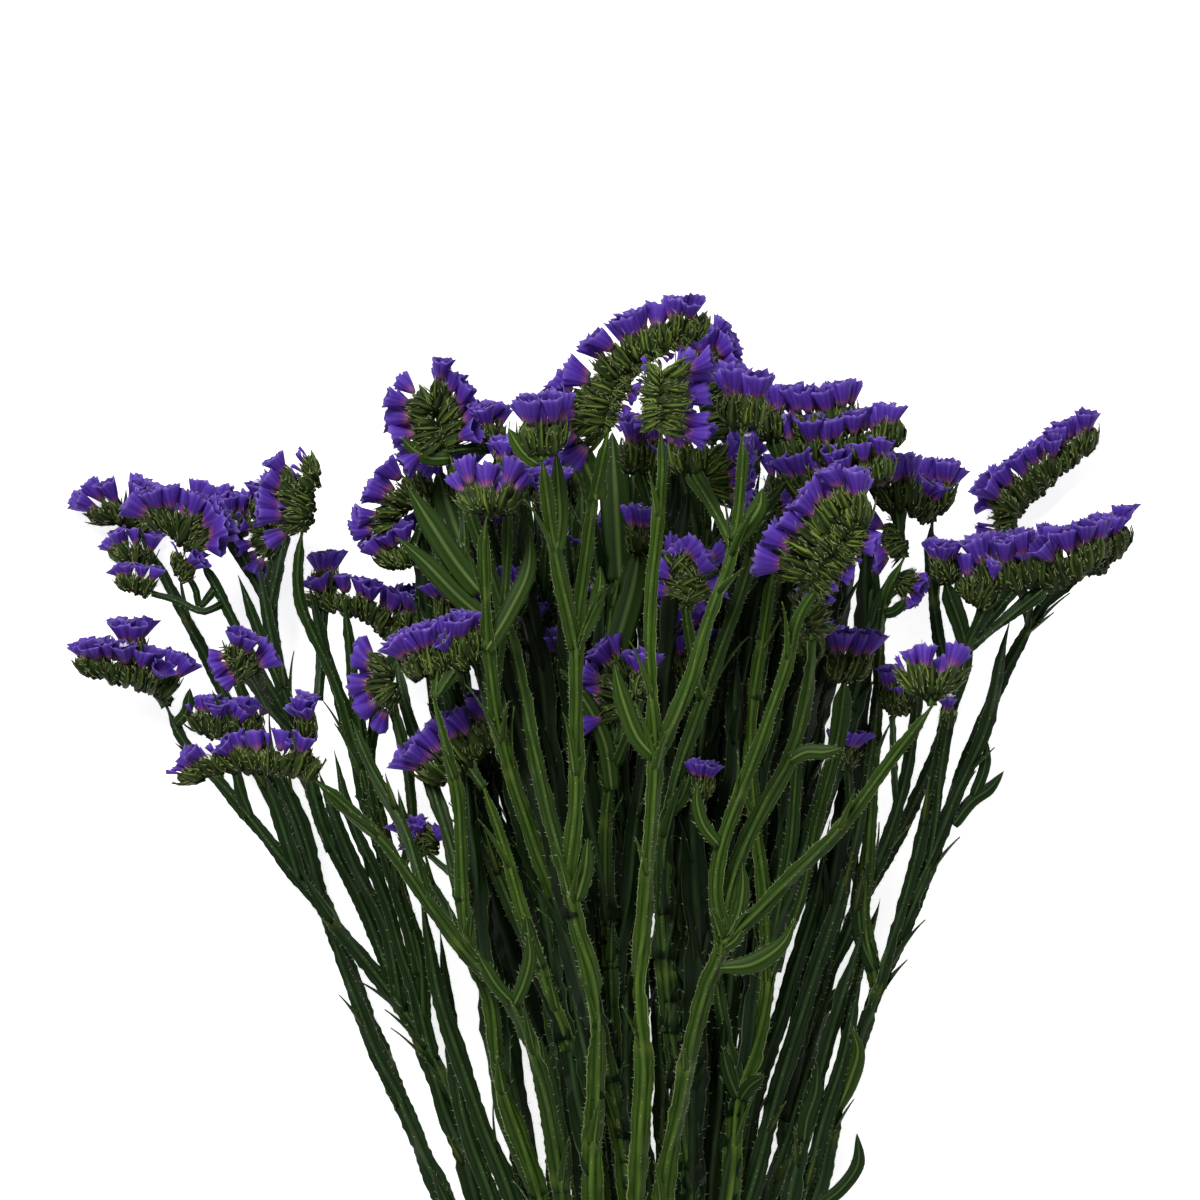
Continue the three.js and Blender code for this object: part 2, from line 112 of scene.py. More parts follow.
# How the flowers of a spike lean along it, from its foot to its tip, in degrees. A spike that leans
# back further than this at its foot is even: its stalk carries it by the middle.
ROW = (-8, 50)
CUP = (-30, 30)
FAN = (-14, 80)
EVEN_LEAN = -20

# The first seed of each kind of piece: its shape, its waves and its flowers.
STEM_SEED, LEAF_SEED, SHOOT_SEED, BLADE_SEED, FILL_SEED = 500, 900, 2000, 2500, 77
STEM_WAVES, HEAD_WAVES, SHOOT_WAVES, TWIG_WAVES, FILL_WAVES = 11, 9000, 20000, 21000, 30000
HEAD_FLOWERS, SHOOT_FLOWERS = 5000, 22000


def trace(text):
    """Picture points from text, u,v for each. A third number fixes a height; one alone is a row."""
    return [tuple(int(n) for n in point.split(",")) for point in text.split()]


def spray(axis, side, leans, size, bloom=1, roll=0):
    """A spike: three points of its axis, the side that flowers, how its flowers lean, its relative
    length, the share of open flowers, and how far it is rolled away from the eye in degrees."""
    return trace(axis), side, leans, size, bloom, roll


def cup(axis, size, bloom=1, roll=0):
    """A short even spike that flowers on top."""
    return spray(axis, -1, CUP, size, bloom, roll)


# Main stems: row and slot in the neck, height of the top, and the traced route.
STEMS = {
    "stem_01": (0, -1.5, 10, "445,1200 402,1105 372,1030 350,970 308,868 252,750 192,630 150,548"),
    "stem_02": (1, -1.5, 24, "520,1200 478,1140 428,1050 405,1012 335,925 245,812 185,742 166,706"),
    "stem_03": (3, -1.5, 88, "562,1200 552,1130 537,1065 513,1005 465,952 385,845 345,805 314,779"),
    "stem_04": (2, -0.5, 62, "603,1200 585,1110 563,1030 540,965 519,900 502,840 484,788"),
    "stem_05": (3, -0.5, 106,
                "592,1200 597,1040 592,980 577,925 570,880 576,800 577,645 592,510 600,470 608,432"),
    "stem_06": (3, 0.5, 126, "636,1200 644,1080 640,980 652,810 655,757 650,620 662,470 661,430"),
    "stem_07": (3, 1.5, 114,
                "664,1200 680,1100 705,990 722,945 716,890 722,845 763,735 785,670 800,615 822,582"),
    "stem_08": (2, 1.5, 70, "690,1200 680,1100 668,1000 662,900 668,810 700,710 748,570 765,510 786,480"),
    "stem_09": (1, 1.5, 28, "815,1200 835,1110 880,985 930,865 975,740 1022,640 1046,602 1086,574"),
    "stem_10": (0, 1.5, 30,
                "782,1200 786,1100 795,1040 858,910 915,800 940,745 948,690 938,630 930,560 932,522"),
    "stem_11": (2, -1.5, 84, "540,1200 500,1080 490,1000 470,950 462,880 458,800 445,740 434,698"),
    "stem_12": (2, 0.5, 102, "628,1200 612,1100 592,1000 562,920,52 510,770 494,700 484,550 486,518"),
    "stem_13": (1, -0.5, 56, "620,1200 612,1000 605,880 608,800 620,744"),
    "stem_14": (0, 0.5, 48, "700,1200 695,1050 690,900 690,780 695,650 705,560 712,445"),
    "stem_15": (0, -0.5, 42, "558,1200,5 556,1050 548,900 535,740 542,620 548,528"),
    "stem_16": (1, 0.5, 58, "728,1200 740,1095 757,1045 768,980 765,900 750,760 765,620 774,566"),
}

# Branches: the stem that carries each, the height of its top, and its route from the joint up.
BRANCHES = {
    "branch_01": ("stem_02", 40, "402,1008 372,925 325,830 300,745 250,655 210,575 200,556"),
    "branch_02": ("stem_02", 60, "424,1042 420,960 392,870 358,755 338,690 300,600 298,560 302,532"),
    "branch_03": ("stem_05", 126, "577,650 565,600 553,540 545,480 542,460"),
    "branch_04": ("stem_06", 112, "655,762 690,680 712,610 733,550 742,470 742,434"),
    "branch_05": ("stem_07", 110, "718,950 780,888 840,828 895,755 932,706"),
    "branch_06": ("stem_09", 50, "878,990 864,920 868,850 877,700 885,600 904,558"),
    "branch_07": ("stem_05", 76, "570,892 545,800 512,640 472,520 448,450"),
    "branch_08": ("stem_12", 58, "500,735 474,640 452,560 426,510"),
}

# Low stems that still catch the light, and how little each is shaded.
LIT = {"stem_04": 0.1, "stem_16": 0.25, "stem_11": 0.35, "branch_06": 0.5, "branch_08": 0.45}

# Flower heads in the order of their numbers: carrier, height, the stalk's foot and bends if it
# leaves below the carrier's top, and the spikes.
HEADS = [
    ("stem_01", 9.7, None, [
        spray("144,532 128,518 104,516", 1, FAN, 1),
        spray("148,566 136,558 120,556", 1, (0, 60), 0.7, 0.9)]),
    ("stem_02", 24, None, [
        spray("168,694 140,680 84,668", 1, (-12, 44), 0.86, roll=-12),
        cup("122,656 131,660 140,656", 0.8)]),
    ("stem_03", 88, None, [
        spray("312,776 250,752 188,776", 1, (-20, 60), 0.78, 0.3),
        spray("298,732 306,736 313,733", -1, (-14, 6), 0.8)]),
    ("stem_04", 59, None, [spray("490,742 466,762 436,780", 1, (-24, 24), 1)]),
    ("stem_11", 84, None, [
        spray("466,652 438,664 410,676", 1, (-22, 8), 0.85),
        spray("456,668 470,656 480,640", -1, ROW, 0.7, 0.5)]),
    ("stem_05", 105, None, [
        spray("598,430 606,350 700,328", -1, (-8, 34), 1, 0.85),
        spray("606,424 622,358 694,336", 1, (-10, 30), 0.4, 0.12),
        spray("602,432 586,418 586,400", -1, ROW, 0.9, 0.8, roll=10)]),
    ("branch_03", 126, None, [spray("524,444 542,452 560,444", -1, (-30, 30), 1)]),
    ("stem_06", 128, None, [
        spray("661,428 662,396 670,372", 1, (-24, 50), 0.88, roll=36),
        spray("661,426 655,398 660,374", -1, (-20, 60), 0.66, 0, roll=64),
        spray("664,424 668,398 676,384", 1, (-20, 50), 0.6, 0, roll=66)]),
    ("stem_14", 48, None, [
        spray("712,436 706,384 704,340", 1, ROW, 0.95), cup("686,374 700,379 714,373", 1)]),
    ("branch_04", 112, None, [spray("727,418 742,425 757,418", -1, (-32, 32), 1)]),
    ("branch_04", 90, "733,548 714,508", [
        cup("676,464 690,470 704,464", 0.85), spray("708,494 714,476 714,458", 1, ROW, 0.9)]),
    ("stem_07", 114, None, [
        spray("802,580 818,542 848,504", -1, (-14, 30), 1.05, roll=22),
        spray("806,584 828,552 856,516", -1, (-10, 30), 0.75, 0, roll=66),
        spray("812,584 834,558 858,530", 1, (-10, 40), 0.6, 0.1, roll=58),
        spray("844,520 854,524 864,518", -1, (-24, 40), 1.05, roll=20)]),
    ("branch_05", 110, None, [spray("914,686 931,696 948,686", -1, (-62, 62), 0.94, 0.75, roll=40)]),
    ("stem_08", 70, None, [
        cup("762,432 772,437 782,432", 0.95), spray("790,462 842,466 898,436", -1, (-20, 34), 1),
        spray("800,496 842,494 888,470", -1, (-20, 30), 0.95),
        spray("796,436 824,436 854,424", -1, (-20, 24), 1)]),
    ("branch_06", 50, None, [
        spray("903,552 897,540 893,530", -1, ROW, 0.65),
        spray("882,502 897,508 912,502", -1, (-40, 30), 1)]),
    ("stem_09", 49.5, "928,868 950,720 965,650", [
        cup("936,574 945,579 954,574", 0.7), spray("988,604 974,594 964,590", 1, ROW, 0.85),
        spray("982,584 1014,588 1050,576", -1, (-24, 24), 1.04),
        spray("1046,588 1072,576 1104,552", -1, (-10, 40), 1)]),
    ("stem_09", 9.7, "1030,625 1018,570", [
        spray("1010,530 1006,508 1004,494", -1, ROW, 0.7, 0.5),
        spray("1006,518 1034,488 1092,440", -1, ROW, 0.95)]),
    ("stem_09", 28, None, [spray("1094,568 1112,556 1124,542", -1, (10, 50), 0.9, 0.8)]),
    ("stem_10", 30, None, [
        spray("918,502 932,509 947,502", -1, (-44, 44), 0.88),
        spray("928,516 916,512 908,500", 1, ROW, 0.7, 0.8)]),
    ("stem_16", 72, "767,985 800,900 818,820 838,735", [
        spray("832,672 845,679 859,672", -1, (-24, 44), 0.9)]),
    ("stem_12", 102, None, [spray("472,504 489,512 507,504", -1, (-52, 52), 0.95, roll=36)]),
    ("branch_07", 76, None, [
        spray("444,446 428,428 425,402", -1, ROW, 0.92, roll=20),
        spray("447,446 444,414 440,396", 1, (10, 78), 0.9), cup("478,442 488,447 499,442", 0.82)]),
    ("branch_08", 56, None, [
        spray("430,488 406,496 388,526", 1, ROW, 0.9), spray("412,556 398,563 384,562", 1, ROW, 0.72)]),
    ("branch_02", 38, "374,822 372,740 386,680", [
        spray("402,648 372,600 314,604", 1, (-14, 50), 0.8, 0.7), cup("400,630 413,636 426,630", 0.95)]),
    ("branch_02", 62, "394,892 412,830 402,740", [
        spray("394,700 384,684 384,664", -1, (-24, 44), 0.78, 0.9, roll=34)]),
    ("branch_01", 40, None, [
        spray("194,546 178,529 158,522", 1, FAN, 0.98),
        spray("190,545 190,528 190,512", 1, (-8, 50), 0.8)]),
    ("branch_01", 20, "306,762 285,690 270,610", [
        spray("280,550 268,544 260,528", -1, ROW, 0.72, 0.9),
        spray("284,532 270,522 258,514", 1, ROW, 0.85), cup("221,530 231,535 241,531", 0.85)]),
    ("branch_02", 60, None, [
        spray("303,526 297,505 292,484", -1, (0, 60), 0.85),
        spray("304,524 308,492 315,466", -1, ROW, 0.7, 0)]),
    ("branch_01", 64, "296,738 268,705", [
        spray("252,672 244,662 236,654", -1, (0, 30), 0.66, 0.6),
        spray("248,674 240,664 233,656", 1, (0, 40), 0.72, 0.9)]),
    ("stem_13", 56, None, [spray("624,716 614,694 624,670", -1, ROW, 0.9)]),
    ("stem_14", 42, "690,760 686,720", [
        cup("664,672 680,678 698,672", 0.95), cup("660,648 676,652 694,648", 1)]),
    ("stem_14", 62, "698,620 664,540", [cup("626,462 640,467 654,461", 0.95)]),
    ("stem_15", 42, None, [cup("540,512 549,517 559,512", 0.9)]),
    ("stem_16", 57, None, [spray("775,558 772,530 770,510", 1, ROW, 0.8, 0.8)]),
]

# Leaves: the stem that carries each, the rise of its foot and tip above the stem, and its route.
LEAVES = [
    ("stem_09", (1, 9), "838,1110 850,1080 858,1050 850,1025"),
    ("stem_07", (3, 8), "720,968 752,964 782,944 796,918"),
]

# Thin side shoots by number: the carrier, the height of the tip, the scale, the route from the joint
# up, and the spikes of the small head at the tip, if it has one.
SHOOTS = {
    1: ("branch_01", 34, 0.34, "222,604 203,612 178,601 152,593",
        spray("150,592 136,586 122,582", 1, ROW, 0.5, 0.4)),
    2: ("branch_01", 40, 0.36, "214,590 200,606 195,588 187,575",
        spray("188,578 180,570 176,564", 1, ROW, 0.6, 0.7)),
    3: ("stem_02", 26, 0.5, "250,818 238,780 234,742",
        spray("230,738 214,728 198,724", 1, ROW, 0.72, 0.8),
        spray("236,736 246,730 256,726", -1, ROW, 0.7)),
    4: ("stem_11", 50, 0.42, "461,880 444,868 428,854",
        spray("424,852 414,846 406,842", 1, ROW, 0.6),
        spray("428,850 432,842 432,836", -1, ROW, 0.55, 0.8)),
    5: ("stem_10", 44, 0.5, "862,902 852,850 850,800 848,772", cup("836,762 844,766 852,763", 0.66)),
    6: ("stem_10", 52, 0.45, "900,828 895,780 892,715",
        cup("885,700 891,704 897,700", 0.7), spray("896,712 908,704 912,694", -1, ROW, 0.5, 0.1)),
    7: ("stem_10", 40, 0.4, "944,728 950,722 952,719", cup("944,718 948,721 952,718", 0.45)),
    8: ("stem_15", 66, 0.5, "536,730 520,680 512,622", cup("500,604 510,610 519,605", 0.75)),
    9: ("branch_08", 60, 0.42, "474,640 457,630 448,616", cup("441,612 447,616 453,612", 0.6)),
    10: ("branch_08", 62, 0.45, "482,668 482,645 478,624", cup("471,618 477,622 483,618", 0.72)),
    11: ("stem_15", 48, 0.5, "538,700 531,668 529,650", cup("522,640 529,644 535,640", 0.8)),
    12: ("stem_15", 50, 0.5, "536,740 552,700 558,676", cup("551,668 558,672 565,668", 0.8)),
    13: ("stem_13", 40, 0.5, "607,812 612,700 618,636", cup("608,626 618,630 628,626", 0.85)),
    14: ("stem_13", 44, 0.5, "605,860 598,700 612,570", cup("602,558 611,562 620,558", 0.85)),
    15: ("stem_14", 54, 0.5, "694,640 662,590 645,556", cup("632,544 642,548 652,544", 0.8)),
    16: ("stem_13", 70, 0.5, "616,765 634,720 641,696",
        spray("636,688 640,690 645,688", -1, (-12, 12), 0.8)),
    17: ("stem_08", 76, 0.55, "704,700 692,650 686,608",
        spray("688,602 680,580 676,562", 1, ROW, 0.8, roll=50),
        spray("684,602 694,582 700,566", -1, ROW, 0.8, roll=50)),
    18: ("stem_14", 60, 0.5, "697,628 670,540 657,486", cup("648,476 656,480 664,476", 0.75)),
    19: ("stem_12", 84, 0.5, "493,690 505,600 508,484", cup("498,474 506,478 514,474", 0.75)),
    20: ("stem_14", 56, 0.5, "692,800 700,805 703,795", cup("698,788 703,791 708,788", 0.55)),
    21: ("branch_06", 46, 0.45, "885,602 893,594 900,590",
        spray("898,588 904,582 908,578", 1, ROW, 0.5, 0.8)),
    22: ("stem_07", 92, 0.75, "721,935 736,865 764,806 790,758 806,700 812,640",
        spray("812,632 808,612 802,598", 1, ROW, 0.8, 0.4, roll=60)),
    23: ("stem_16", 52, 0.6, "767,960 790,850 800,720 812,660", cup("803,652 811,656 819,652", 0.7, 0.5)),
    24: ("branch_02", 36, 0.5, "318,700 322,640 324,596", cup("317,588 325,592 333,588", 0.75)),
    36: ("stem_08", 56, 0.5, "740,592 752,580 756,566", cup("745,556 754,561 763,556", 0.75)),
    37: ("stem_16", 48, 0.5, "760,640 782,560 786,500", cup("776,492 785,496 794,492", 0.8)),
    38: ("stem_12", 60, 0.5, "494,700 470,600 462,500", cup("452,492 461,496 470,492", 0.85)),
    39: ("stem_15", 36, 0.5, "541,640 560,560 570,500", cup("561,492 570,496 579,492", 0.8)),
    40: ("stem_15", 30, 0.5, "541,640 530,560 526,500", cup("517,492 526,496 535,492", 0.8)),
    41: ("stem_14", 50, 0.5, "705,560 735,520 745,480", cup("736,472 745,476 754,472", 0.8)),
    42: ("stem_16", 54, 0.5, "770,590 800,540 815,480", cup("806,470 815,474 824,470", 0.8)),
    43: ("branch_06", 44, 0.5, "884,610 862,560 850,492", cup("841,482 850,486 859,482", 0.85)),
    25: ("stem_04", 44, 0.7, "545,980 515,915 490,858 462,800 447,765"),
    26: ("stem_16", 44, 0.65, "741,1092 728,1040 716,985 712,930 722,860"),
    27: ("stem_10", 34, 0.6, "790,1060 806,960 812,880 818,800"),
    28: ("stem_09", 34, 0.7, "912,905 945,820 985,730 1000,660 1010,620"),
    29: ("stem_10", 30, 0.55, "830,955 848,930 860,900 868,862"),
    30: ("stem_09", 18, 0.5, "850,1068 846,1020 858,975 880,900"),
    31: ("stem_01", 22, 0.7, "312,878 288,800 245,700 222,640"),
    32: ("stem_02", 44, 0.65, "400,1002 386,930 348,850 318,770"),
    33: ("branch_02", 44, 0.6, "421,975 405,920 382,850 366,800"),
    34: ("stem_11", 50, 0.6, "476,965 440,900 412,850 398,790"),
    35: ("stem_01", 20, 0.7, "402,1105 380,1060 350,985 330,930"),
    44: ("stem_09", 34, 0.6, "1010 905,900 930,800 952,700 972,622"),
    45: ("stem_10", 40, 0.65, "1040 835,960 872,880 900,800 915,720 922,640"),
    46: ("stem_10", 44, 0.65, "1090 820,980 846,880 866,780 878,690"),
    47: ("stem_02", 42, 0.65, "1060 404,960 378,880 352,820 334,750"),
    48: ("branch_02", 46, 0.55, "930 384,830 372,780 366,730"),
    49: ("stem_11", 34, 0.9, "1400 512,1200 466,1080 436,980 420,890"),
    50: ("stem_01", 20, 0.9, "1380 476,1200 438,1090 412,1010 392,930"),
    51: ("stem_11", 26, 0.9, "1420 492,1200 462,1110 450,1020 440,930"),
    52: ("stem_09", 26, 0.9, "1400 790,1200 812,1100 840,1000 866,920"),
    53: ("stem_16", 34, 0.9, "1420 748,1200 775,1100 806,1000 838,900 858,820"),
    54: ("stem_10", 20, 0.9, "1400 768,1200 796,1110 820,1020 842,950"),
    55: ("stem_09", 24, 0.8, "1380 802,1200 824,1120 848,1040 862,970"),
    56: ("stem_14", 34, 0.9, "1420 735,1200 752,1110 782,1010 815,900 830,820"),
    58: ("stem_14", 26, 0.9, "1440 664,1200 662,1100 658,980 664,860"),
    59: ("stem_13", 30, 0.9, "1440 650,1200 632,1100 626,980 634,860"),
    60: ("stem_14", 26, 0.9, "1440 690,1200 702,1100 706,1000 716,880"),
    61: ("stem_04", 40, 0.9, "1400 582,1200 566,1110 552,1010 548,900"),
    62: ("branch_01", 26, 0.7, "850 300,760 284,690 268,620 258,560"),
    63: ("branch_01", 30, 0.6, "800 290,710 262,640 238,575"),
    64: ("branch_02", 44, 0.7, "900 366,800 346,720 322,640 308,580"),
    65: ("stem_11", 40, 0.7, "900 446,830 424,760 404,700 396,650"),
    66: ("stem_15", 36, 0.8, "800 528,700 512,600 504,520 500,470"),
    67: ("stem_15", 40, 0.8, "780 548,680 568,600 580,540 582,470"),
    68: ("stem_12", 50, 0.8, "760 476,660 448,580 430,520 424,470"),
    69: ("stem_13", 40, 0.8, "780 600,680 618,580 626,500 622,450"),
    70: ("stem_02", 30, 0.7, "880 272,800 238,740 212,690"),
    71: ("stem_01", 20, 0.7, "900 300,820 262,740 236,690"),
    72: ("stem_03", 60, 0.6, "900 404,830 372,770 352,720"),
    73: ("branch_02", 50, 0.6, "800 356,700 350,650 344,600"),
    74: ("stem_15", 34, 0.6, "700 520,620 490,560 480,520", cup("472,540 482,545 492,540", 0.8)),
    75: ("stem_15", 30, 0.6, "720 556,640 566,600 570,570", cup("560,566 570,571 580,566", 0.85)),
    76: ("stem_12", 44, 0.6, "700 470,620 452,580 440,552", cup("430,548 440,553 450,548", 0.8)),
    77: ("stem_14", 40, 0.6, "760 676,680 664,640 660,590", cup("650,586 660,591 670,586", 0.85)),
    78: ("stem_13", 44, 0.95, "760 608,640 628,540 637,448"),
    79: ("stem_14", 44, 0.95, "740 684,620 676,540 666,440"),
    80: ("stem_15", 36, 0.95, "720 536,600 520,520 512,448"),
    81: ("stem_12", 50, 0.9, "720 478,620 462,540 456,470"),
    82: ("stem_16", 40, 0.9, "700 772,600 800,540 816,480"),
    57: ("stem_15", 24, 0.9, "1420 530,1200 508,1110 490,1010 480,930"),
}

# Small leaves and long bracts: the carrier, the width, how far the tip rises, and the route.
BLADES = [
    ("stem_06", 5.5, 6, "655,757 638,738 623,700 614,664"),
    ("stem_09", 4.2, 2, "953,825 972,801 990,788 1004,771"),
    ("stem_09", 3.6, 3, "974,796 984,770 988,742"),
    ("shoot_52", 5.0, 3, "804,1142 807,1120 816,1092 818,1062"),
    ("stem_11", 6.4, 5, "540,1196 520,1150 502,1105 491,1072"),
    ("stem_03", 6.6, 3, "561,1192 556,1140 548,1085 541,1038"),
    ("stem_16", 4.6, 5, "740,1100 750,1086 765,1076"),
    ("stem_16", 4.6, 5, "738,1098 728,1072 723,1048"),
    ("stem_04", 4.6, 4, "541,968 530,940 526,915"),
    ("shoot_78", 10, -2, "620,580 616,500 612,432"),
    ("shoot_78", 9, -2, "612,660 632,590 641,540"),
    ("shoot_79", 10, -2, "680,600 690,540 698,462"),
    ("stem_14", 10, -3, "706,580 690,510 674,450"),
    ("shoot_80", 9, -2, "522,540 512,480 504,440"),
    ("shoot_81", 9, -2, "464,550 448,505 438,468"),
    ("shoot_67", 9, -2, "574,580 572,520 562,450"),
    ("stem_09", 4.4, 3, "818,1206 840,1190 858,1164 857,1133"),
    ("stem_07", 4.5, 4, "722,945 738,915 743,885 742,862"),
    ("stem_07", 4.0, 5, "719,845 704,826 697,802 698,784"),
    ("shoot_22", 4.6, 2, "790,760 806,752 824,752 842,748"),
    ("branch_06", 3.4, 3, "884,614 895,611 906,599"),
    ("branch_06", 5.0, 6, "874,970 862,940 858,900 857,868"),
    ("branch_04", 6.0, 2, "734,542 750,522 760,505 762,488"),
    ("branch_07", 4.6, 2, "449,458 430,458 413,449 402,437"),
    ("branch_03", 4.0, 3, "538,464 523,452 508,428"),
    ("stem_03", 4.4, 4, "514,1005 524,982 530,957 528,934"),
    ("stem_03", 4.4, 4, "512,1002 497,986 478,954"),
    ("stem_02", 3.6, 3, "176,724 186,712 190,688"),
    ("stem_05", 5.0, 4, "577,900 585,870 588,838"),
    ("stem_05", 4.6, 3, "578,640 592,615 600,585 600,566"),
    ("branch_05", 3.8, 2, "724,948 735,940 742,930"),
    ("stem_10", 4.6, 3, "800,1034 822,1010 842,985"),
    ("stem_11", 4.6, 3, "480,980 468,950 452,930"),
    ("stem_08", 4.4, 3, "668,812 680,800 690,775"),
    ("branch_07", 7.4, 1, "480,592 456,562 430,522 408,487"),
    ("branch_07", 6.0, 1, "492,625 458,596 425,562 398,538"),
    ("stem_05", 7.4, -2, "596,500 592,480 581,455 572,432"),
    ("branch_03", 5.0, -2, "556,550 560,520 558,480 556,452"),
    ("stem_12", 5.4, -4, "486,650 510,610 528,570 530,528"),
    ("stem_13", 5.5, 8, "612,790 604,740 578,690 560,668"),
]

# The hidden shoots that fill the middle of the bunch, by turns short and tall: where they start across
# the picture and how far they spread, and the rows of their tips and feet. Then what carries them.
FILL_COUNT = 92
FILL_SHORT = (440, 390, (600, 760), (1020, 1320))
FILL_TALL = (400, 480, (445, 560), (900, 1150))
FILL_CENTRE = 640
FILL_CEILING = 75
FILL_CARRIERS = ["stem_%02d" % number for number in (2, 4, 5, 8, 9, 10, 11, 12, 13, 14, 15, 16)]


def reseed(seed):
    """Each piece draws its own random numbers, so that an edit to one leaves the others as they are."""
    global rng
    rng = np.random.default_rng(seed)


def unit(v):
    return v / np.maximum(np.linalg.norm(v, axis=-1, keepdims=True), 1e-9)


def level(direction):
    """The level direction to the right of a direction, or of each one in a row."""
    return unit(np.cross(direction, [0, 0, 1.0]))


def mm_per_pixel(height):
    return (EYE_HEIGHT - height) / (EYE_HEIGHT - TRACED_HEIGHT) / PIXELS_PER_MM


def place(u, v, height):
    """A picture point at a height above the surface, in millimetres of the part's frame."""
    k = mm_per_pixel(height)
    return np.array([(u - PICTURE_CENTRE) * k + CENTRE_X, (PICTURE_CENTRE - v) * k + CENTRE_Y, height])


def nearest(path, u, v):
    """Which point of a path looks nearest to a picture point, and how far off it is."""
    k = mm_per_pixel(path[:, 2])
    dx = (u - PICTURE_CENTRE) * k + CENTRE_X - path[:, 0]
    dy = (PICTURE_CENTRE - v) * k + CENTRE_Y - path[:, 1]
    gaps = np.hypot(dx, dy)
    i = int(np.argmin(gaps))
    return i, gaps[i]


def height_at(points, u, v):
    """How high a carrier runs where it passes a picture point."""
    path, _ = smooth_path(points, 2)
    return path[nearest(path, u, v)[0], 2]


def on_carrier(points, v):
    """Where a carrier crosses a picture row."""
    path, _ = smooth_path(points, 1)
    k = mm_per_pixel(path[:, 2])
    rows = PICTURE_CENTRE - (path[:, 1] - CENTRE_Y) / k
    i = int(np.argmin(np.abs(rows - v)))
    return float((path[i, 0] - CENTRE_X) / k[i] + PICTURE_CENTRE), float(rows[i])


def raised(route, first, last):
    """Heights rise along a route in step with the picture's rows. A point may fix its own height."""
    known = [(route[0][1], first)]
    known += [(p[1], p[2]) for p in route[1:-1] if len(p) > 2]
    known += [(route[-1][1], last)]
    out = []
    for p in route:
        i = max(1, next((j for j, k in enumerate(known) if k[0] <= p[1]), len(known) - 1))
        (v0, h0), (v1, h1) = known[i - 1], known[i]
        out.append(place(p[0], p[1], h0 + (h1 - h0) * (p[1] - v0) / (v1 - v0)))
    return out


def distances(curve):
    """How far along a curve each of its points is."""
    return np.concatenate([[0], np.cumsum(np.linalg.norm(np.diff(curve, axis=0), axis=1))])


def point_at(curve, run, at):
    """The points at given distances along a curve."""
    return np.stack([np.interp(at, run, curve[:, k]) for k in range(3)], -1)


def smooth_path(points, step):
    """A smooth curve through the points, in even steps of arc length."""
    pts = np.array(points, float)
    ext = np.vstack([2 * pts[0] - pts[1], pts, 2 * pts[-1] - pts[-2]])
    dense = []
    s = np.linspace(0, 1, 24, endpoint=False)[:, None]
    for p0, p1, p2, p3 in zip(ext, ext[1:], ext[2:], ext[3:]):
        d0, d1, d2 = (max(1e-4, np.linalg.norm(b - a) ** 0.5) for a, b in ((p0, p1), (p1, p2), (p2, p3)))
        t1 = ((p1 - p0) / d0 - (p2 - p0) / (d0 + d1) + (p2 - p1) / d1) * d1
        t2 = ((p2 - p1) / d1 - (p3 - p1) / (d1 + d2) + (p3 - p2) / d2) * d1
        curve = p1 + t1 * s + (-3 * p1 + 3 * p2 - 2 * t1 - t2) * s**2
        dense.append(curve + (2 * p1 - 2 * p2 + t1 + t2) * s**3)
    dense = np.vstack(dense + [pts[-1:]])
    run = distances(dense)
    at = np.linspace(0, run[-1], max(4, int(round(run[-1] / step)) + 1))
    return point_at(dense, run, at), at


def thinned(path, run):
    """Every third point only, where the path is below the flowering part of the bunch."""
    keep = (path[:, 1] > PLAIN_BELOW) | (np.arange(len(path)) % 3 == 0)
    keep[-1] = True
    return path[keep], run[keep]


def bezier(points, count):
    t = np.linspace(0, 1, count)[:, None]
    n = len(points) - 1
    terms = [math.comb(n, i) * (1 - t) ** (n - i) * t**i * np.asarray(p, float) for i, p in enumerate(points)]
    return sum(terms)


def stem_points(row, slot, top, route):
    """A main stem from its cut end, through its place in the neck, to its top."""
    height = LOWEST_ROW + ROW_PITCH * row
    stagger = ROW_STAGGER if row % 2 else -ROW_STAGGER

    def gathered(v, pitch):
        return place(NECK_CENTRE, v, height) + np.array([(slot + stagger) * pitch, 0, 0])

    climbing = raised([(NECK_CENTRE, NECK_TOP)] + route, height, top)[1:]
    cut_end = gathered(CUT_ENDS + UNEVEN_CUT * math.sin(7 * slot + 3 * row), CUT_PITCH)
    return [cut_end, gathered(NECK_BOTTOM, STEM_PITCH), gathered(NECK_TOP, STEM_PITCH)] + climbing


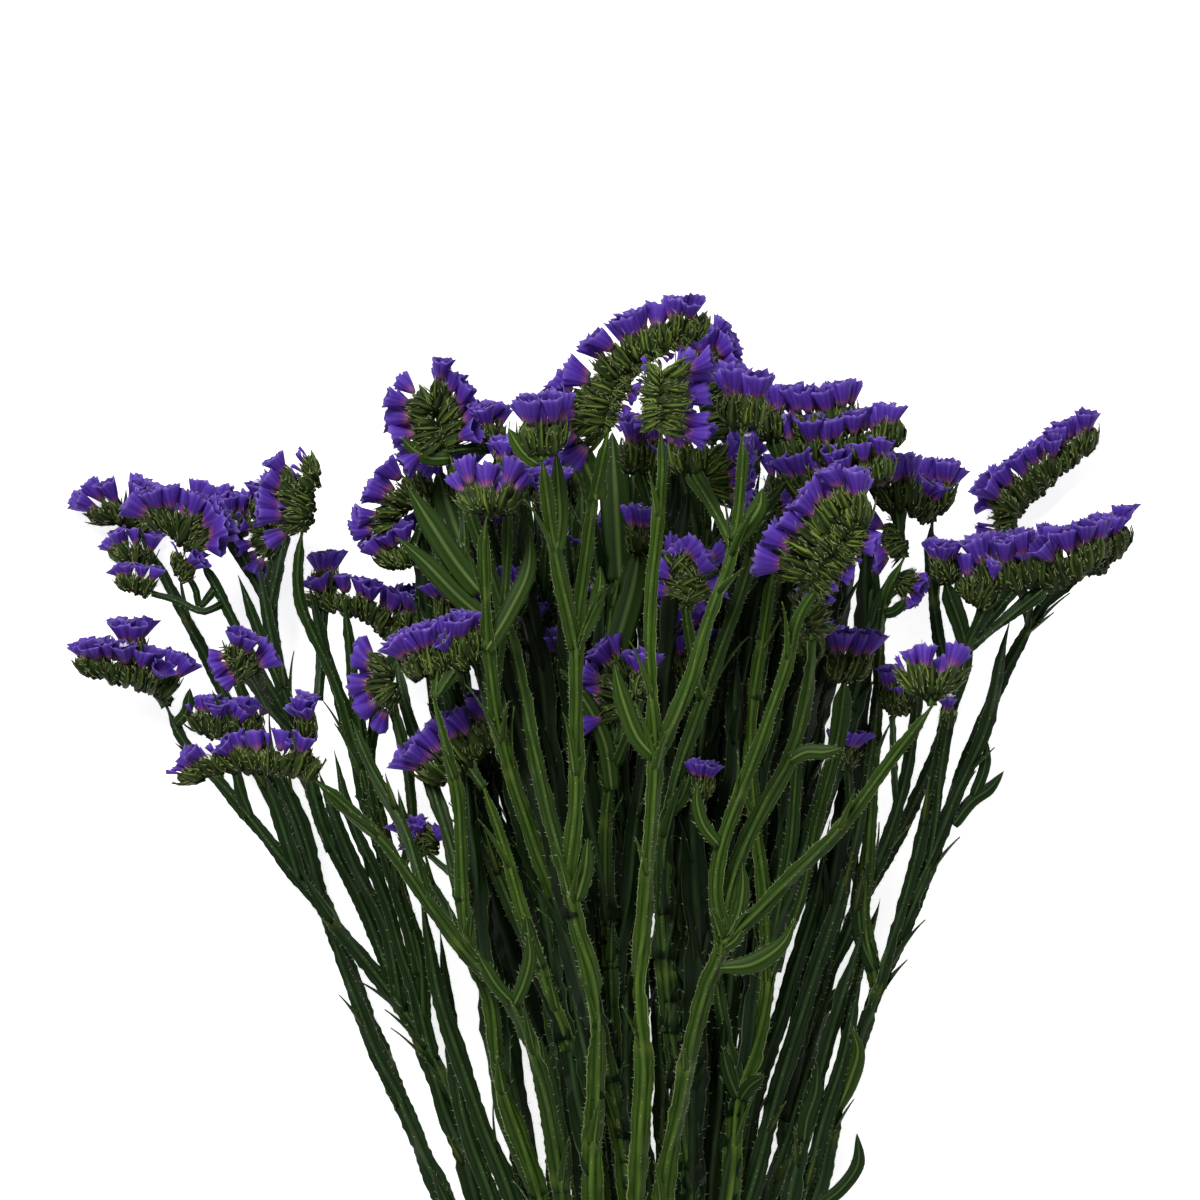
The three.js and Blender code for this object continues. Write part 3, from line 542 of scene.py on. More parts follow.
class Shape:
    """One piece's vertices in millimetres, its faces, and the values its materials read."""

    def __init__(self):
        self.verts, self.quads, self.tris, self.values = [], [], [], []
        self.quad_slots, self.tri_slots = [], []
        self.count = 0

    def add(self, verts, quads, tris, slot, along, across, tone, shade=0.5):
        verts = np.asarray(verts, float).reshape(-1, 3)
        for faces, size, kept, slots in ((quads, 4, self.quads, self.quad_slots),
                                         (tris, 3, self.tris, self.tri_slots)):
            kept.append(np.asarray(faces, int).reshape(-1, size) + self.count)
            slots.append(np.full(len(kept[-1]), slot))
        self.values.append(np.stack([np.broadcast_to(np.ravel(a), len(verts))
                                     for a in (along, across, tone, shade)], 1))
        self.verts.append(verts)
        self.count += len(verts)

    def build(self, name, materials):
        verts = np.vstack(self.verts)
        verts[:, 2] = np.maximum(verts[:, 2], FLOOR_CLEARANCE)
        quads, tris = np.vstack(self.quads), np.vstack(self.tris)
        mesh = bpy.data.meshes.new(name)
        mesh.vertices.add(len(verts))
        mesh.vertices.foreach_set("co", (verts * 0.001).astype(np.float32).ravel())
        corners = np.concatenate([quads.ravel(), tris.ravel()]).astype(np.int32)
        mesh.loops.add(len(corners))
        mesh.loops.foreach_set("vertex_index", corners)
        sizes = np.repeat([4, 3], [len(quads), len(tris)])
        starts = np.concatenate([[0], np.cumsum(sizes)[:-1]]).astype(np.int32)
        mesh.polygons.add(len(sizes))
        mesh.polygons.foreach_set("loop_start", starts)
        slots = np.concatenate(self.quad_slots + self.tri_slots).astype(np.int32)
        mesh.polygons.foreach_set("material_index", slots)
        mesh.polygons.foreach_set("use_smooth", np.ones(len(sizes), bool))
        mesh.update(calc_edges=True)
        values = np.vstack(self.values).astype(np.float32)
        # The value shade is painted shade: the materials darken a piece by it, and in a calyx it marks the
        # inner skin.
        for i, key in enumerate(("along", "across", "tone", "shade")):
            mesh.attributes.new(key, "FLOAT", "POINT").data.foreach_set("value", values[:, i].copy())
        for material in materials:
            mesh.materials.append(material)
        piece = bpy.data.objects.new(name, mesh)
        bpy.context.scene.collection.objects.link(piece)
        return piece


def ring_faces(rings, size):
    """Quads between successive closed rings of vertices."""
    i, j = np.meshgrid(np.arange(rings - 1), np.arange(size), indexing="ij")
    k = (j + 1) % size
    return np.stack([i * size + j, i * size + k, (i + 1) * size + k, (i + 1) * size + j], -1).reshape(-1, 4)


def end_caps(rings, size):
    """Fans of triangles that close the first and the last ring."""
    end = (rings - 1) * size
    first = [[0, j + 1, j] for j in range(1, size - 1)]
    return first + [[end, end + j, end + j + 1] for j in range(1, size - 1)]


def hub_caps(rings, size):
    """The same, around two more vertices that stand in the middle of the rings."""
    hub, end = rings * size, (rings - 1) * size
    first = [[hub, (j + 1) % size, j] for j in range(size)]
    return first + [[hub + 1, end + j, end + (j + 1) % size] for j in range(size)]


def circle(side, other, count):
    """Directions around a circle between two perpendicular ones."""
    angles = np.arange(count) / count * 2 * np.pi
    return side[..., None, :] * np.cos(angles)[:, None] + other[..., None, :] * np.sin(angles)[:, None]


def waves(run, length, count, seed):
    """A smooth random signal of about unit height, with features of roughly the given length."""
    r = np.random.default_rng(seed)
    total = np.zeros_like(run)
    for _ in range(count):
        total += np.sin(run * 2 * np.pi / (length * r.uniform(0.6, 1.6)) + r.uniform(0, 6.28))
    return total / math.sqrt(count)


def hairs(shape, base, direction, length, width, slot):
    """Fine bristles: slender three-sided spikes."""
    n = len(base)
    if not n:
        return
    d = unit(direction)
    a = unit(np.cross(d, np.where(np.abs(d[:, 2:3]) < 0.8, [[0, 0, 1.0]], [[1.0, 0, 0]])))
    b = np.cross(d, a)
    corners = [base + width * (a * math.cos(q) + b * math.sin(q)) for q in (0, 2.094, 4.189)]
    verts = np.stack(corners + [base + d * length[:, None]], 1).reshape(-1, 3)
    at = np.arange(n)[:, None] * 4
    tris = np.concatenate([at + [corner] for corner in ([0, 1, 3], [1, 2, 3], [2, 0, 3])])
    shape.add(verts, [], tris, slot, np.tile([0, 0, 0, 1.0], n), 0.5, 0.5)


# Material slots. The hairs of a leaf or a bract have the slot after its own.
STALK, HAIR, LEAF = 0, 1, 2
BRACT, CALYX, COROLLA = 2, 4, 5


def winged_stalk(shape, path, run, scale, seed, shade, taper=STALK_TAPER, flare=0.0, joints=(),
                 main=False, headed=False, point=False, coarse=False):
    """A stalk with a raised rib and wavy, toothed wings. A main stem is calm below its flowering part.
    flare widens the wings under a flower, headed narrows them under a head, and point ends them."""
    r = np.random.default_rng(seed)
    n = len(path)
    share = run / run[-1]
    calm = np.clip((path[:, 1] + 70) / 90, 0.15, 1) if main else np.ones(n)
    size = scale * (1 - taper * (np.clip((share - 0.45) / 0.55, 0, 1) if main else share))
    swell = sum((np.exp(-(((run - at) / JOINT_SWELL) ** 2)) for at in joints), np.zeros(n))
    twist = (0.45 * waves(run, 130, 3, seed) + 0.22 * waves(run, 45, 3, seed + 1)) * calm
    twist = np.clip(twist, -0.9, 0.9)[:, None]
    tangent = unit(np.gradient(path, axis=0))
    flat = -level(tangent)
    steep = np.cross(tangent, flat)
    across = flat * np.cos(twist) + steep * np.sin(twist)
    up = steep * np.cos(twist) - flat * np.sin(twist)

    def wing(side):
        """The width of one wing along the stalk, with its teeth."""
        broad = 1 + 0.13 * waves(run, 34, 3, seed + 2 + side)
        tooth = np.where(np.arange(n) % 2 == side, 0.22, -0.12) * r.uniform(0.3, 1.4, n)
        tooth = size * (tooth + 0.16 * waves(run, 7, 2, seed + 8 + side)) * (0.5 + 0.5 * calm)
        width = size * WING_SPAN / 2 * broad * (0.9 + 0.1 * calm) + tooth
        if flare:
            near = np.clip((share - 0.3) / 0.6, 0, 1)
            drop = np.clip((1 - share) / 0.06, 0.3, 1)
            width = (width * (0.7 + 0.15 * share) + flare * near**1.4) * drop
        if headed:
            width = width * np.clip((run[-1] - run) / 7.0, 0.3, 1)
        if point:
            width = width * np.clip((1 - share) / 0.16, 0.05, 1)
        return width

    wl, wr = wing(0), wing(1)
    if point:
        size = size * np.clip((1 - share) / 0.12, 0.1, 1)

    def ruffle(first):
        return size * (0.5 * waves(run, 14, 2, first) + 0.35 * waves(run, 5.5, 2, first + 1)) * calm

    wave_l, wave_r = ruffle(seed + 4), ruffle(seed + 6)
    rib = np.minimum(size * 1.6 * (1 + 0.25 * swell), np.minimum(wl, wr) * 0.9)
    edge = size * 0.17
    crest = rib * 0.75 + size * (0.6 + 0.2 * waves(run, 26, 2, seed + 9))
    lean = size * 0.35 * waves(run, 40, 2, seed + 10)
    ring = [
        (-wl, -edge + wave_l, 1.0), (-wl * 0.5, -edge * 2.4 + wave_l * 0.4, 0.6), (0 * wl, -rib * 0.95, 0.1),
        (wr * 0.5, -edge * 2.4 + wave_r * 0.4, 0.6), (wr, -edge + wave_r, 1.0), (wr, edge + wave_r, 1.0),
        (wr * 0.62, edge * 1.6 + wave_r * 0.5, 0.62), (rib * 0.8, rib * 0.3, 0.36),
        (lean + rib * 0.3, crest, 0.1), (lean - rib * 0.3, crest, 0.1), (-rib * 0.8, rib * 0.3, 0.36),
        (-wl * 0.62, edge * 1.6 + wave_l * 0.5, 0.62), (-wl, edge + wave_l, 1.0),
    ]
    if coarse:
        ring = [ring[k] for k in (0, 2, 4, 5, 7, 8, 9, 10, 12)]
    m = len(ring)
    verts = np.stack([path + across * x[:, None] + up * y[:, None] for x, y, _ in ring], 1).reshape(-1, 3)
    along = np.concatenate([np.repeat(run, m), [0, run[-1]]])
    rib_to_rim = np.concatenate([np.tile([q for _, _, q in ring], n), [0, 0]])
    tone = np.concatenate([np.repeat(np.clip(swell, 0, 1), m), [0, 0]])
    shape.add(np.vstack([verts, path[:1], path[-1:]]), ring_faces(n, m), hub_caps(n, m), STALK,
              along, rib_to_rim, tone, shade)

    edges = [(across * -wl[:, None] + up * wave_l[:, None], -across, 0.8, 1),
             (across * wr[:, None] + up * wave_r[:, None], across, 0.8, 0),
             (across * lean[:, None] + up * crest[:, None], up, 0.35, 0)]
    for offset, outward, kept, phase in edges[: 2 if coarse else 3]:
        pick = r.random(n) < kept
        if kept > 0.5:
            pick &= (np.arange(n) % 2 == phase) | (r.random(n) < 0.35)
        k = int(pick.sum())
        out = outward[pick]
        direction = out + tangent[pick] * r.uniform(0.1, 1.1, (k, 1)) + up[pick] * r.normal(0, 0.45, (k, 1))
        length = r.uniform(0.8, 1.8, k) * (0.45 + 0.55 * size[pick])
        hairs(shape, (path + offset)[pick] - out * 0.1, direction, length, STALK_BRISTLE, HAIR)


def blade(shape, path, width, across, fold, thick, slot, tone, hair=0, shade=0.5, flat=False,
          bristle=BRISTLE):
    """A thin pointed leaf or bract, folded along its keel."""
    n = len(path)
    tangent = unit(np.gradient(path, axis=0))
    across = unit(across - tangent * np.sum(across * tangent, 1, keepdims=True))
    up = np.cross(across, tangent)
    w = (width / 2)[:, None]
    left = path - across * w - up * w * fold
    right = path + across * w - up * w * fold
    lift = up * thick
    ring, values = [left, path + lift, right, path - lift], [1, 0, 1, 0.2]
    if flat:
        inner_left, inner_right = left * 0.78 + path * 0.22, right * 0.78 + path * 0.22
        ring = [left, inner_left + lift * 0.8, path + lift, inner_right + lift * 0.8,
                right, inner_right - lift * 0.8, path - lift, inner_left - lift * 0.8]
        values = [1, 0.7, 0, 0.7, 1, 0.7, 0.05, 0.7]
    m = len(ring)
    shape.add(np.stack(ring, 1), ring_faces(n, m), end_caps(n, m), slot,
              np.repeat(np.linspace(0, 1, n), m), np.tile(values, n), tone, shade)
    if hair:
        k = rng.integers(1, n, hair)
        f = rng.random((hair, 1))
        sign = rng.choice([-1.0, 1.0], (hair, 1))
        rims = [rim[k - 1] * (1 - f) + rim[k] * f for rim in (left, right)]
        direction = across[k] * sign * rng.uniform(0.2, 1.0, (hair, 1))
        direction += tangent[k] * rng.uniform(0.6, 1.6, (hair, 1)) + up[k] * rng.normal(0.35, 0.5, (hair, 1))
        length = rng.uniform(0.9, 2.0, hair) * (1 + 4 * (bristle - BRISTLE))
        hairs(shape, np.where(sign < 0, *rims), direction, length, bristle, slot + 1)


def calyx(shape, base, direction, wide, length, radius, segments, squash, openness, tone):
    """A papery funnel with pleats, soft ruffled lobes and an uneven rim, as a thin closed skin."""
    d = unit(direction)
    side = unit(wide - d * np.dot(wide, d))
    other = np.cross(d, side)
    k = np.arange(segments)
    theta = k / segments * 2 * np.pi
    outer_t, inner_t = [0, 0.3, 0.7, 1.0], [0.97, 0.6]
    if segments > 14:
        outer_t, inner_t = [0, 0.22, 0.46, 0.68, 0.86, 1.0], [0.98, 0.72, 0.4]
    p = rng.uniform(0, 6.28, 6)
    folds = 0.5 * np.cos(5 * theta + p[0]) + 0.4 * np.cos(3 * theta + p[1]) + 0.45 * np.cos(8 * theta + p[2])
    crest = 0.6 * np.cos(5 * theta + p[3]) + 0.5 * np.cos(2 * theta + p[4]) + 0.3 * np.cos(9 * theta + p[5])
    pleat = np.where(k % 2 == 0, 1.0, -1.0)
    nick = rng.normal(0, 0.022, segments) + 0.03 * pleat
    bend = rng.normal(0, 0.8, 2)
    fullness = rng.uniform(0.62, 0.95)

    def ring(t, thin):
        spread = 0.2 + 0.8 * t**fullness * openness + (1 - openness) * 0.12 * t
        r = radius * spread * (1 + 0.2 * t**1.6 * folds + 0.1 * t * pleat) - thin
        r = np.maximum(r, 0.05)
        x = r * np.cos(theta) + bend[0] * t**2
        y = r * np.sin(theta) * squash + bend[1] * t**2 * 0.5
        z = length * (t + t**3 * (0.06 * crest + nick))
        return base + np.outer(x, side) + np.outer(y, other) + np.outer(z, d)

    rings = [ring(t, 0.0) for t in outer_t] + [ring(t, PAPER) for t in inner_t]
    total = len(rings)
    verts = np.vstack(rings + [rings[0].mean(0), rings[-1].mean(0)])
    along = np.concatenate([np.repeat(outer_t + inner_t, segments), [0, 0.34]])
    # Darker along every inward pleat and in the fold valleys: partly vein colour, partly painted crease
    # shade.
    valley = np.clip(0.5 - 0.5 * folds, 0, 1) * 0.45 + 0.55 * (k % 2)
    across = np.concatenate([np.tile(valley, total), [0.5, 0.5]])
    # The inner skin is marked for painted shade in the throat.
    inside = np.repeat([0.0, 1, 0, 1], [len(outer_t) * segments, len(inner_t) * segments, 1, 1])
    shape.add(verts, ring_faces(total, segments), hub_caps(total, segments), CALYX,
              along, across, tone, inside)


def corolla(shape, base, direction):
    """The small pale flower that shows in the mouth of some calyxes."""
    d = unit(direction)
    side = unit(np.cross(d, rng.normal(0, 1, 3)))
    other = np.cross(d, side)
    for i in range(5):
        turn = i * 1.2566 + rng.normal(0, 0.1)
        out = side * math.cos(turn) + other * math.sin(turn)
        path = base + bezier([np.zeros(3), d * 1.6 + out * 0.3, d * 1.9 + out * COROLLA_RADIUS], 4)
        sideways = np.tile(np.cross(d, out), (4, 1))
        blade(shape, path, np.array([0.5, 1.3, 1.6, 0.5]), sideways, -0.1, 0.05, COROLLA, 0.5)


def spikelet(shape, foot, aim, along, length, fullness, shade):
    """A bud of overlapping pointed bracts around one aim, some flaring, with bristly edges."""
    side = unit(along - aim * np.dot(along, aim))
    other = np.cross(aim, side)
    outline = ((-0.15, 1.1), (0.2, 2.3), (0.55, 2.1), (0.8, 0.9))
    body = [foot + aim * (z * length) + circle(side, other, 6) * (r * fullness) for z, r in outline]
    shape.add(np.vstack(body), ring_faces(4, 6), end_caps(4, 6), BRACT, np.repeat([0.1, 0.35, 0.6, 0.8], 6),
              0.6, rng.random(), shade)
    start = rng.uniform(0, 6.28)
    for j in range(BRACTS_PER_SPIKELET):
        turn = start + GOLDEN_TURN * j + rng.normal(0, 0.35)
        radial = side * math.cos(turn) + other * math.sin(turn)
        long = length * rng.uniform(0.66, 1.06)
        belly = foot + radial * (fullness * rng.uniform(2.6, 3.7))
        heel = foot + radial * 0.5 - aim * rng.uniform(0.8, 2.2)
        tip = foot + radial * rng.uniform(0.3, 3.2) * fullness + side * rng.normal(0, 0.6) + aim * long
        path = bezier([heel, belly + aim * long * 0.12, belly + aim * long * 0.66, tip], 4)
        width = fullness * rng.uniform(1.7, 3.0) * np.array([0.8, 1.1, 0.8, 0.04])
        sideways = np.tile(np.cross(aim, radial), (4, 1))
        blade(shape, path, width, sideways, 0.32, 0.15, BRACT, rng.random(), 5, shade, bristle=HEAD_BRISTLE)


def spike_axis(shape, fine, run, shade):
    """The bent green axis inside a spike."""
    n = max(5, int(run[-1] / 3))
    core = point_at(fine, run, np.linspace(0, run[-1], n))
    tangent = unit(np.gradient(core, axis=0))
    across = -level(tangent)
    thick = AXIS_RADIUS * (1 - 0.5 * np.linspace(0, 1, n))[:, None, None]
    tube = core[:, None] + thick * circle(across, np.cross(tangent, across), 8)
    shape.add(tube, ring_faces(n, 8), end_caps(n, 8), BRACT, 0.1, 0.6, 0.5, shade)


def spike(shape, traced, height, seed, shade):
    """A one-sided spike: a bent axis, two ranks of bracts that wrap its back, and calyxes."""
    axis, side, leans, size, bloom, roll = traced
    reseed(seed)
    fine = bezier([place(u, v, height) for u, v in axis], 60)
    run = distances(fine)
    tangents = unit(np.gradient(fine, axis=0))
    spike_axis(shape, fine, run, shade)
    roll = math.radians(roll)
    short = float(np.clip((30 - run[-1]) / 14, 0, 1))
    even = leans[0] < EVEN_LEAN
    seen = abs(roll) > 0.7
    fade = 0.04 if even else 0.30 - 0.14 * short
    count = max(5, int(round(run[-1] / SPIKELET_PITCH * (1.35 if seen else 1))) + int(2 * short))
    for i in range(count):
        t = (i + 0.5) / count
        p = point_at(fine, run, t * run[-1])
        along = unit(point_at(tangents, run, t * run[-1]))
        out = level(along) * side * math.cos(roll) + np.array([0, 0, -1.0]) * math.sin(roll)
        lean = math.radians(leans[0] + (leans[1] - leans[0]) * t)
        forward = unit(out * math.cos(lean) + along * math.sin(lean))
        sideways = unit(np.cross(along, out)) * (1 if i % 2 else -1)
        reach = HEAD_REACH * size * (1 - fade * t)
        splay = math.radians(rng.uniform(26, 50) if seen else rng.uniform(2, 26))
        aim = unit(forward * math.cos(splay) + sideways * math.sin(splay) + rng.normal(0, 0.09, 3))
        foot = p + sideways * rng.uniform(0.2, 1.2) - out * rng.uniform(0.2, 1.6)
        spikelet(shape, foot, aim, along, reach * rng.uniform(*SPIKELET_LENGTH), size**0.6, shade)
        if rng.random() < bloom and (t < 0.96 or even or short > 0.4):
            for extra in range(2 if rng.random() < TWIN_SHARE else 1):
                look = unit(aim + rng.normal(0, 0.10 + 0.12 * extra, 3) + along * 0.2 * extra)
                long = reach * rng.uniform(*CALYX_LENGTH)
                calyx(shape, p + look * (reach * rng.uniform(0.92, 1.04) - long), look, along, long,
                      rng.uniform(*CALYX_RADIUS) * size**0.6, 22 if size > 0.8 else 16,
                      rng.uniform(0.6, 0.95), rng.uniform(0.85, 1.0), rng.random())
                if rng.random() < COROLLA_SHARE:
                    corolla(shape, p + look * reach * 0.86, look)
        elif rng.random() < BUD_SHARE:
            long = reach * rng.uniform(*BUD_LENGTH)
            calyx(shape, p + aim * reach * 0.44, aim, along, long, rng.uniform(*BUD_RADIUS), 12,
                  rng.uniform(0.6, 1), rng.uniform(0.2, 0.6), rng.random())


def srgb(code):
    """The shader's colour for six hexadecimal digits."""
    shares = [int(code[i : i + 2], 16) / 255 for i in (0, 2, 4)]
    return tuple(c / 12.92 if c <= 0.04045 else ((c + 0.055) / 1.055) ** 2.4 for c in shares) + (1.0,)


class Nodes:
    """Small helpers for a material's node tree. A colour is given as six hexadecimal digits."""

    def __init__(self, name):
        self.material = bpy.data.materials.new(name)
        self.material.use_nodes = True
        self.tree = self.material.node_tree
        self.shader = self.tree.nodes["Principled BSDF"]

    def new(self, kind, **settings):
        node = self.tree.nodes.new("ShaderNode" + kind)
        for key, value in settings.items():
            setattr(node, key, value)
        return node

    def value(self, key):
        """One of the values that a shape gives its vertices."""
        return self.new("Attribute", attribute_name=key).outputs["Fac"]

    def feed(self, socket, value):
        if isinstance(value, bpy.types.NodeSocket):
            self.tree.links.new(value, socket)
        else:
            socket.default_value = srgb(value) if isinstance(value, str) else value

    def noise(self, scale, detail, vector=None):
        node = self.new("TexNoise")
        self.feed(node.inputs["Vector"], vector or self.new("TexCoord").outputs["Object"])
        self.feed(node.inputs["Scale"], scale)
        self.feed(node.inputs["Detail"], detail)
        return node.outputs["Fac"]

    def streaks(self, narrow, short):
        """Noise drawn out along a stem."""
        joined = self.new("CombineXYZ")
        self.feed(joined.inputs["X"], self.scaled("across", narrow))
        self.feed(joined.inputs["Y"], self.scaled("along", short))
        return self.scaled(self.noise(1.0, 2.0, joined.outputs["Vector"]), 1.6, -0.55)

    def scaled(self, source, factor, offset=0.0):
        """A socket, or a value by name, times a factor and plus an offset."""
        node = self.new("Math", operation="MULTIPLY_ADD")
        source = self.value(source) if isinstance(source, str) else source
        for socket, value in zip(node.inputs, (source, factor, offset)):
            self.feed(socket, value)
        return node.outputs[0]

    def ramp(self, key, stops):
        node = self.new("ValToRGB")
        elements = node.color_ramp.elements
        while len(elements) < len(stops):
            elements.new(0.5)
        for element, (position, colour) in zip(elements, stops.items()):
            element.position = position
            element.color = srgb(colour)
        self.feed(node.inputs["Fac"], self.value(key))
        return node.outputs["Color"]

    def mix(self, factor, a, b):
        node = self.new("Mix", data_type="RGBA")
        for index, value in ((0, factor), (6, a), (7, b)):
            self.feed(node.inputs[index], value)
        return node.outputs[2]

    def finish(self, colour, roughness, height=None, bump=0.3):
        self.feed(self.shader.inputs["Base Color"], colour)
        self.feed(self.shader.inputs["Roughness"], roughness)
        self.feed(self.shader.inputs["Specular IOR Level"], 0.18)
        if height is not None:
            node = self.new("Bump")
            self.feed(node.inputs["Strength"], bump)
            self.feed(node.inputs["Distance"], 0.0003)
            self.feed(node.inputs["Height"], height)
            self.feed(self.shader.inputs["Normal"], node.outputs["Normal"])
        return self.material


def stalk_material(name):
    """Green winged stalk: pale rib, mid-green wings, pale joints, fine streaks along it, and painted shade.
    """
    m = Nodes(name)
    blotch = m.noise(45, 3)
    # A lit copy and a painted-shade copy of the stalk's colours, mixed by the value shade. In both the pale
    # rib and wing rims are partly the stalk's own colour and partly painted highlight, and the darkest band
    # beside the rib is painted crease shade.
    lit_colour = m.ramp("across", {0.0: "809e42", 0.14: "648428", 0.3: "3e5e12", 0.38: "304e0a",
                               0.6: "52721e", 0.92: "406016", 1.0: "acbe76"})
    depth_shaded = m.ramp("across", {0.0: "506a40", 0.14: "344e26", 0.3: "182e10", 0.38: "0e2008",
                             0.6: "223a1a", 0.92: "182e12", 1.0: "6a7e56"})
    base = m.mix(m.value("shade"), lit_colour, depth_shaded)
    streaked = m.mix(m.streaks(9.0, 0.09), base, "102006")
    blotched = m.mix(m.scaled(blotch, 0.4), streaked, "162808")
    jointed = m.mix(m.scaled("tone", 0.2), blotched, "84943e")
    # Painted shade: shoots inside the bunch darken towards black.
    hidden = m.mix(m.scaled("shade", 1.0, -1.0), jointed, "040a02")
    return m.finish(hidden, m.scaled(blotch, 0.25, 0.42), m.noise(900, 2), 0.25)


def leaf_material(name):
    """Flat leaves and long bracts: a pale midrib, even green sides, a pale rim, and painted shade."""
    m = Nodes(name)
    fine = m.noise(700, 3)
    # A lit copy and a painted-shade copy of the leaf's colours, mixed by the value shade.
    lit_colour = m.ramp("across", {0.0: "92a854", 0.1: "708c36", 0.2: "304c0c", 0.6: "4c6c1a", 0.9: "3c5a12",
                               1.0: "849a54"})
    depth_shaded = m.ramp("across", {0.0: "546c3c", 0.1: "3a5226", 0.2: "0e1e06", 0.6: "203816", 0.9: "182e0e",
                             1.0: "54683e"})
    base = m.mix(m.value("shade"), lit_colour, depth_shaded)
    veined = m.mix(m.streaks(14.0, 2.0), base, "1a300a")
    mottled = m.mix(m.scaled(fine, 0.2), veined, "1e340c")
    # Painted shade: the bracts of shoots inside the bunch darken towards black.
    hidden = m.mix(m.scaled("shade", 1.0, -1.0), mottled, "040a02")
    return m.finish(hidden, 0.55, fine)


def bract_material(name):
    """Bracts: yellow-green keel, darker green sides, tan papery points, and painted shade in the bunch and at
    their feet.
    """
    m = Nodes(name)
    fine = m.noise(1200, 2)
    base = m.ramp("across", {0.0: "9eae4a", 0.14: "688028", 0.4: "3e5616", 0.85: "1e300a", 1.0: "54662e"})
    darker = m.mix(m.scaled("tone", 1.0, -0.1), base, "162608")
    # Painted shade: heads low or far out in the bunch are darker.
    depth_shaded = m.mix(m.scaled("shade", 0.62), darker, "0a1606")
    # Painted shade: darker towards each bract's foot and the core of the spike, where the bracts crowd.
    foot_shaded = m.mix(m.scaled("along", -1.875, 0.75), depth_shaded, "081003")
    tipped = m.mix(m.scaled("along", 1.3, -0.975), foot_shaded, "807e46")
    speckled = m.mix(m.scaled(fine, 0.1), tipped, "6e803c")
    return m.finish(speckled, 0.62, fine)


def calyx_material(name):
    """Papery violet funnel: salmon base, violet body with pleats pale and darker by turns, the darker partly
    vein colour and partly painted crease shade, and painted shade in the throat.
    """
    m = Nodes(name)
    fine = m.noise(700, 3)
    body = m.ramp("along", {0.0: "8c8c54", 0.14: "ba8270", 0.28: "9c4e7e", 0.42: "6434a6",
                            0.74: "6842c8", 0.93: "8460d8", 1.0: "b096ec"})
    # Darker along the inward pleats and the fold valleys: partly vein colour, partly painted crease shade.
    veins_and_fold_shade = m.mix(m.scaled("across", 0.9), body, "220c60")
    varied = m.mix(m.scaled("tone", 0.35), veins_and_fold_shade, "3e208c")
    grained = m.mix(m.scaled(fine, 0.16), varied, "7652c8")
    # Painted shade on the inner skin, in the throat.
    throat = m.mix(m.scaled("shade", 0.45), grained, "241058")
    return m.finish(throat, 0.6, fine, 0.25)


def plain_material(name, colour, other, roughness=0.7):
    m = Nodes(name)
    return m.finish(m.mix(m.noise(600, 2), colour, other), roughness)


stem_look = stalk_material("stem_green")
branch_look = stalk_material("branch_green")
hair_look = plain_material("bristle_white", "ced6b0", "a0ac7a")
down_look = plain_material("bristle_green", "c2cc94", "829652")
leaf_look = leaf_material("leaf_green")
STEM_LOOKS = [stem_look, hair_look, leaf_look, hair_look]
bract_look = bract_material("bract_green")
calyx_look = calyx_material("calyx_violet")
corolla_look = plain_material("corolla_pale", "e2dcec", "c8bee2")
HEAD_LOOKS = [branch_look, hair_look, bract_look, down_look, calyx_look, corolla_look]


def joints_on(name, path, run):
    """How far along a stem its branches and stalks leave it."""
    feet = [route for carrier, _, route in BRANCHES.values() if carrier == name]
    feet += [stalk for carrier, _, stalk, _ in HEADS if stalk and carrier == name]
    at = []
    for u, v in (trace(route)[0] for route in feet):
        foot = place(u, v, height_at(PATHS[name], u, v))
        at.append(run[np.argmin(np.linalg.norm(path - foot, axis=1))])
    return at


def joint_bract(shape, path, run, at, length, width, turn, shade, flat=True):
    """A pointed bract that clasps a stem at a joint and stands along it."""
    i = min(len(path) - 2, int(np.searchsorted(run, at)))
    tangent = unit(path[i + 1] - path[i])
    across = -level(tangent)
    out = across * math.cos(turn) + np.cross(tangent, across) * math.sin(turn)
    start = path[i] + out * 1.2 - tangent * 2
    bends = ((0, 0), (1.2, 0.3), (2.4, 0.7), (1.6 + 0.2 * length, 1))
    points = bezier([start + out * aside + tangent * length * on for aside, on in bends], len(BRACT_OUTLINE))
    sideways = np.tile(np.cross(tangent, out), (len(points), 1))
    hair = 10 if flat else 3
    blade(shape, points, width * BRACT_OUTLINE, sideways, BRACT_FOLD, 0.2, LEAF, 0.0, hair, shade, flat)


def stem_shade(top, middle_u):
    """Painted shade for a stalk: front stems in the middle are brighter, low and outer ones are darker, as if
    shaded by the bunch.
    """
    far = min(1.0, abs(middle_u - PICTURE_CENTRE) / 420)
    return float(np.clip(1.05 - top / 130 + 0.35 * far, 0.05, 1.0))


def add_piece(shape, name, materials, slot, *nodes):
    piece = shape.build(name, materials)
    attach(piece, "root")
    if nodes:
        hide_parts(*nodes)


def add_leaf(name, on, route, low, rise, width, style, shade, *nodes):
    """A leaf that runs over its carrier, low above it at its foot and rising to its tip."""
    step, thick, hair, (start, full, power) = style
    route = trace(route)
    foot = height_at(PATHS[on], *route[0])
    points = [place(u, v, foot + low + rise * i / (len(route) - 1)) for i, (u, v) in enumerate(route)]
    path, _ = smooth_path(points, step)
    swelling = full * np.sin(np.pi * (start + (1 - start) * np.linspace(0, 1, len(path)))) ** power
    widths = width * np.clip(swelling, 0.02, 1)
    across = level(unit(np.gradient(path, axis=0)))
    shade = shade or stem_shade(foot + low, route[0][0])
    shape = Shape()
    blade(shape, path, widths, across, LEAF_FOLD, thick, LEAF, 0.0, hair, shade, flat=True)
    add_piece(shape, name, STEM_LOOKS, "leaf_green", *nodes)


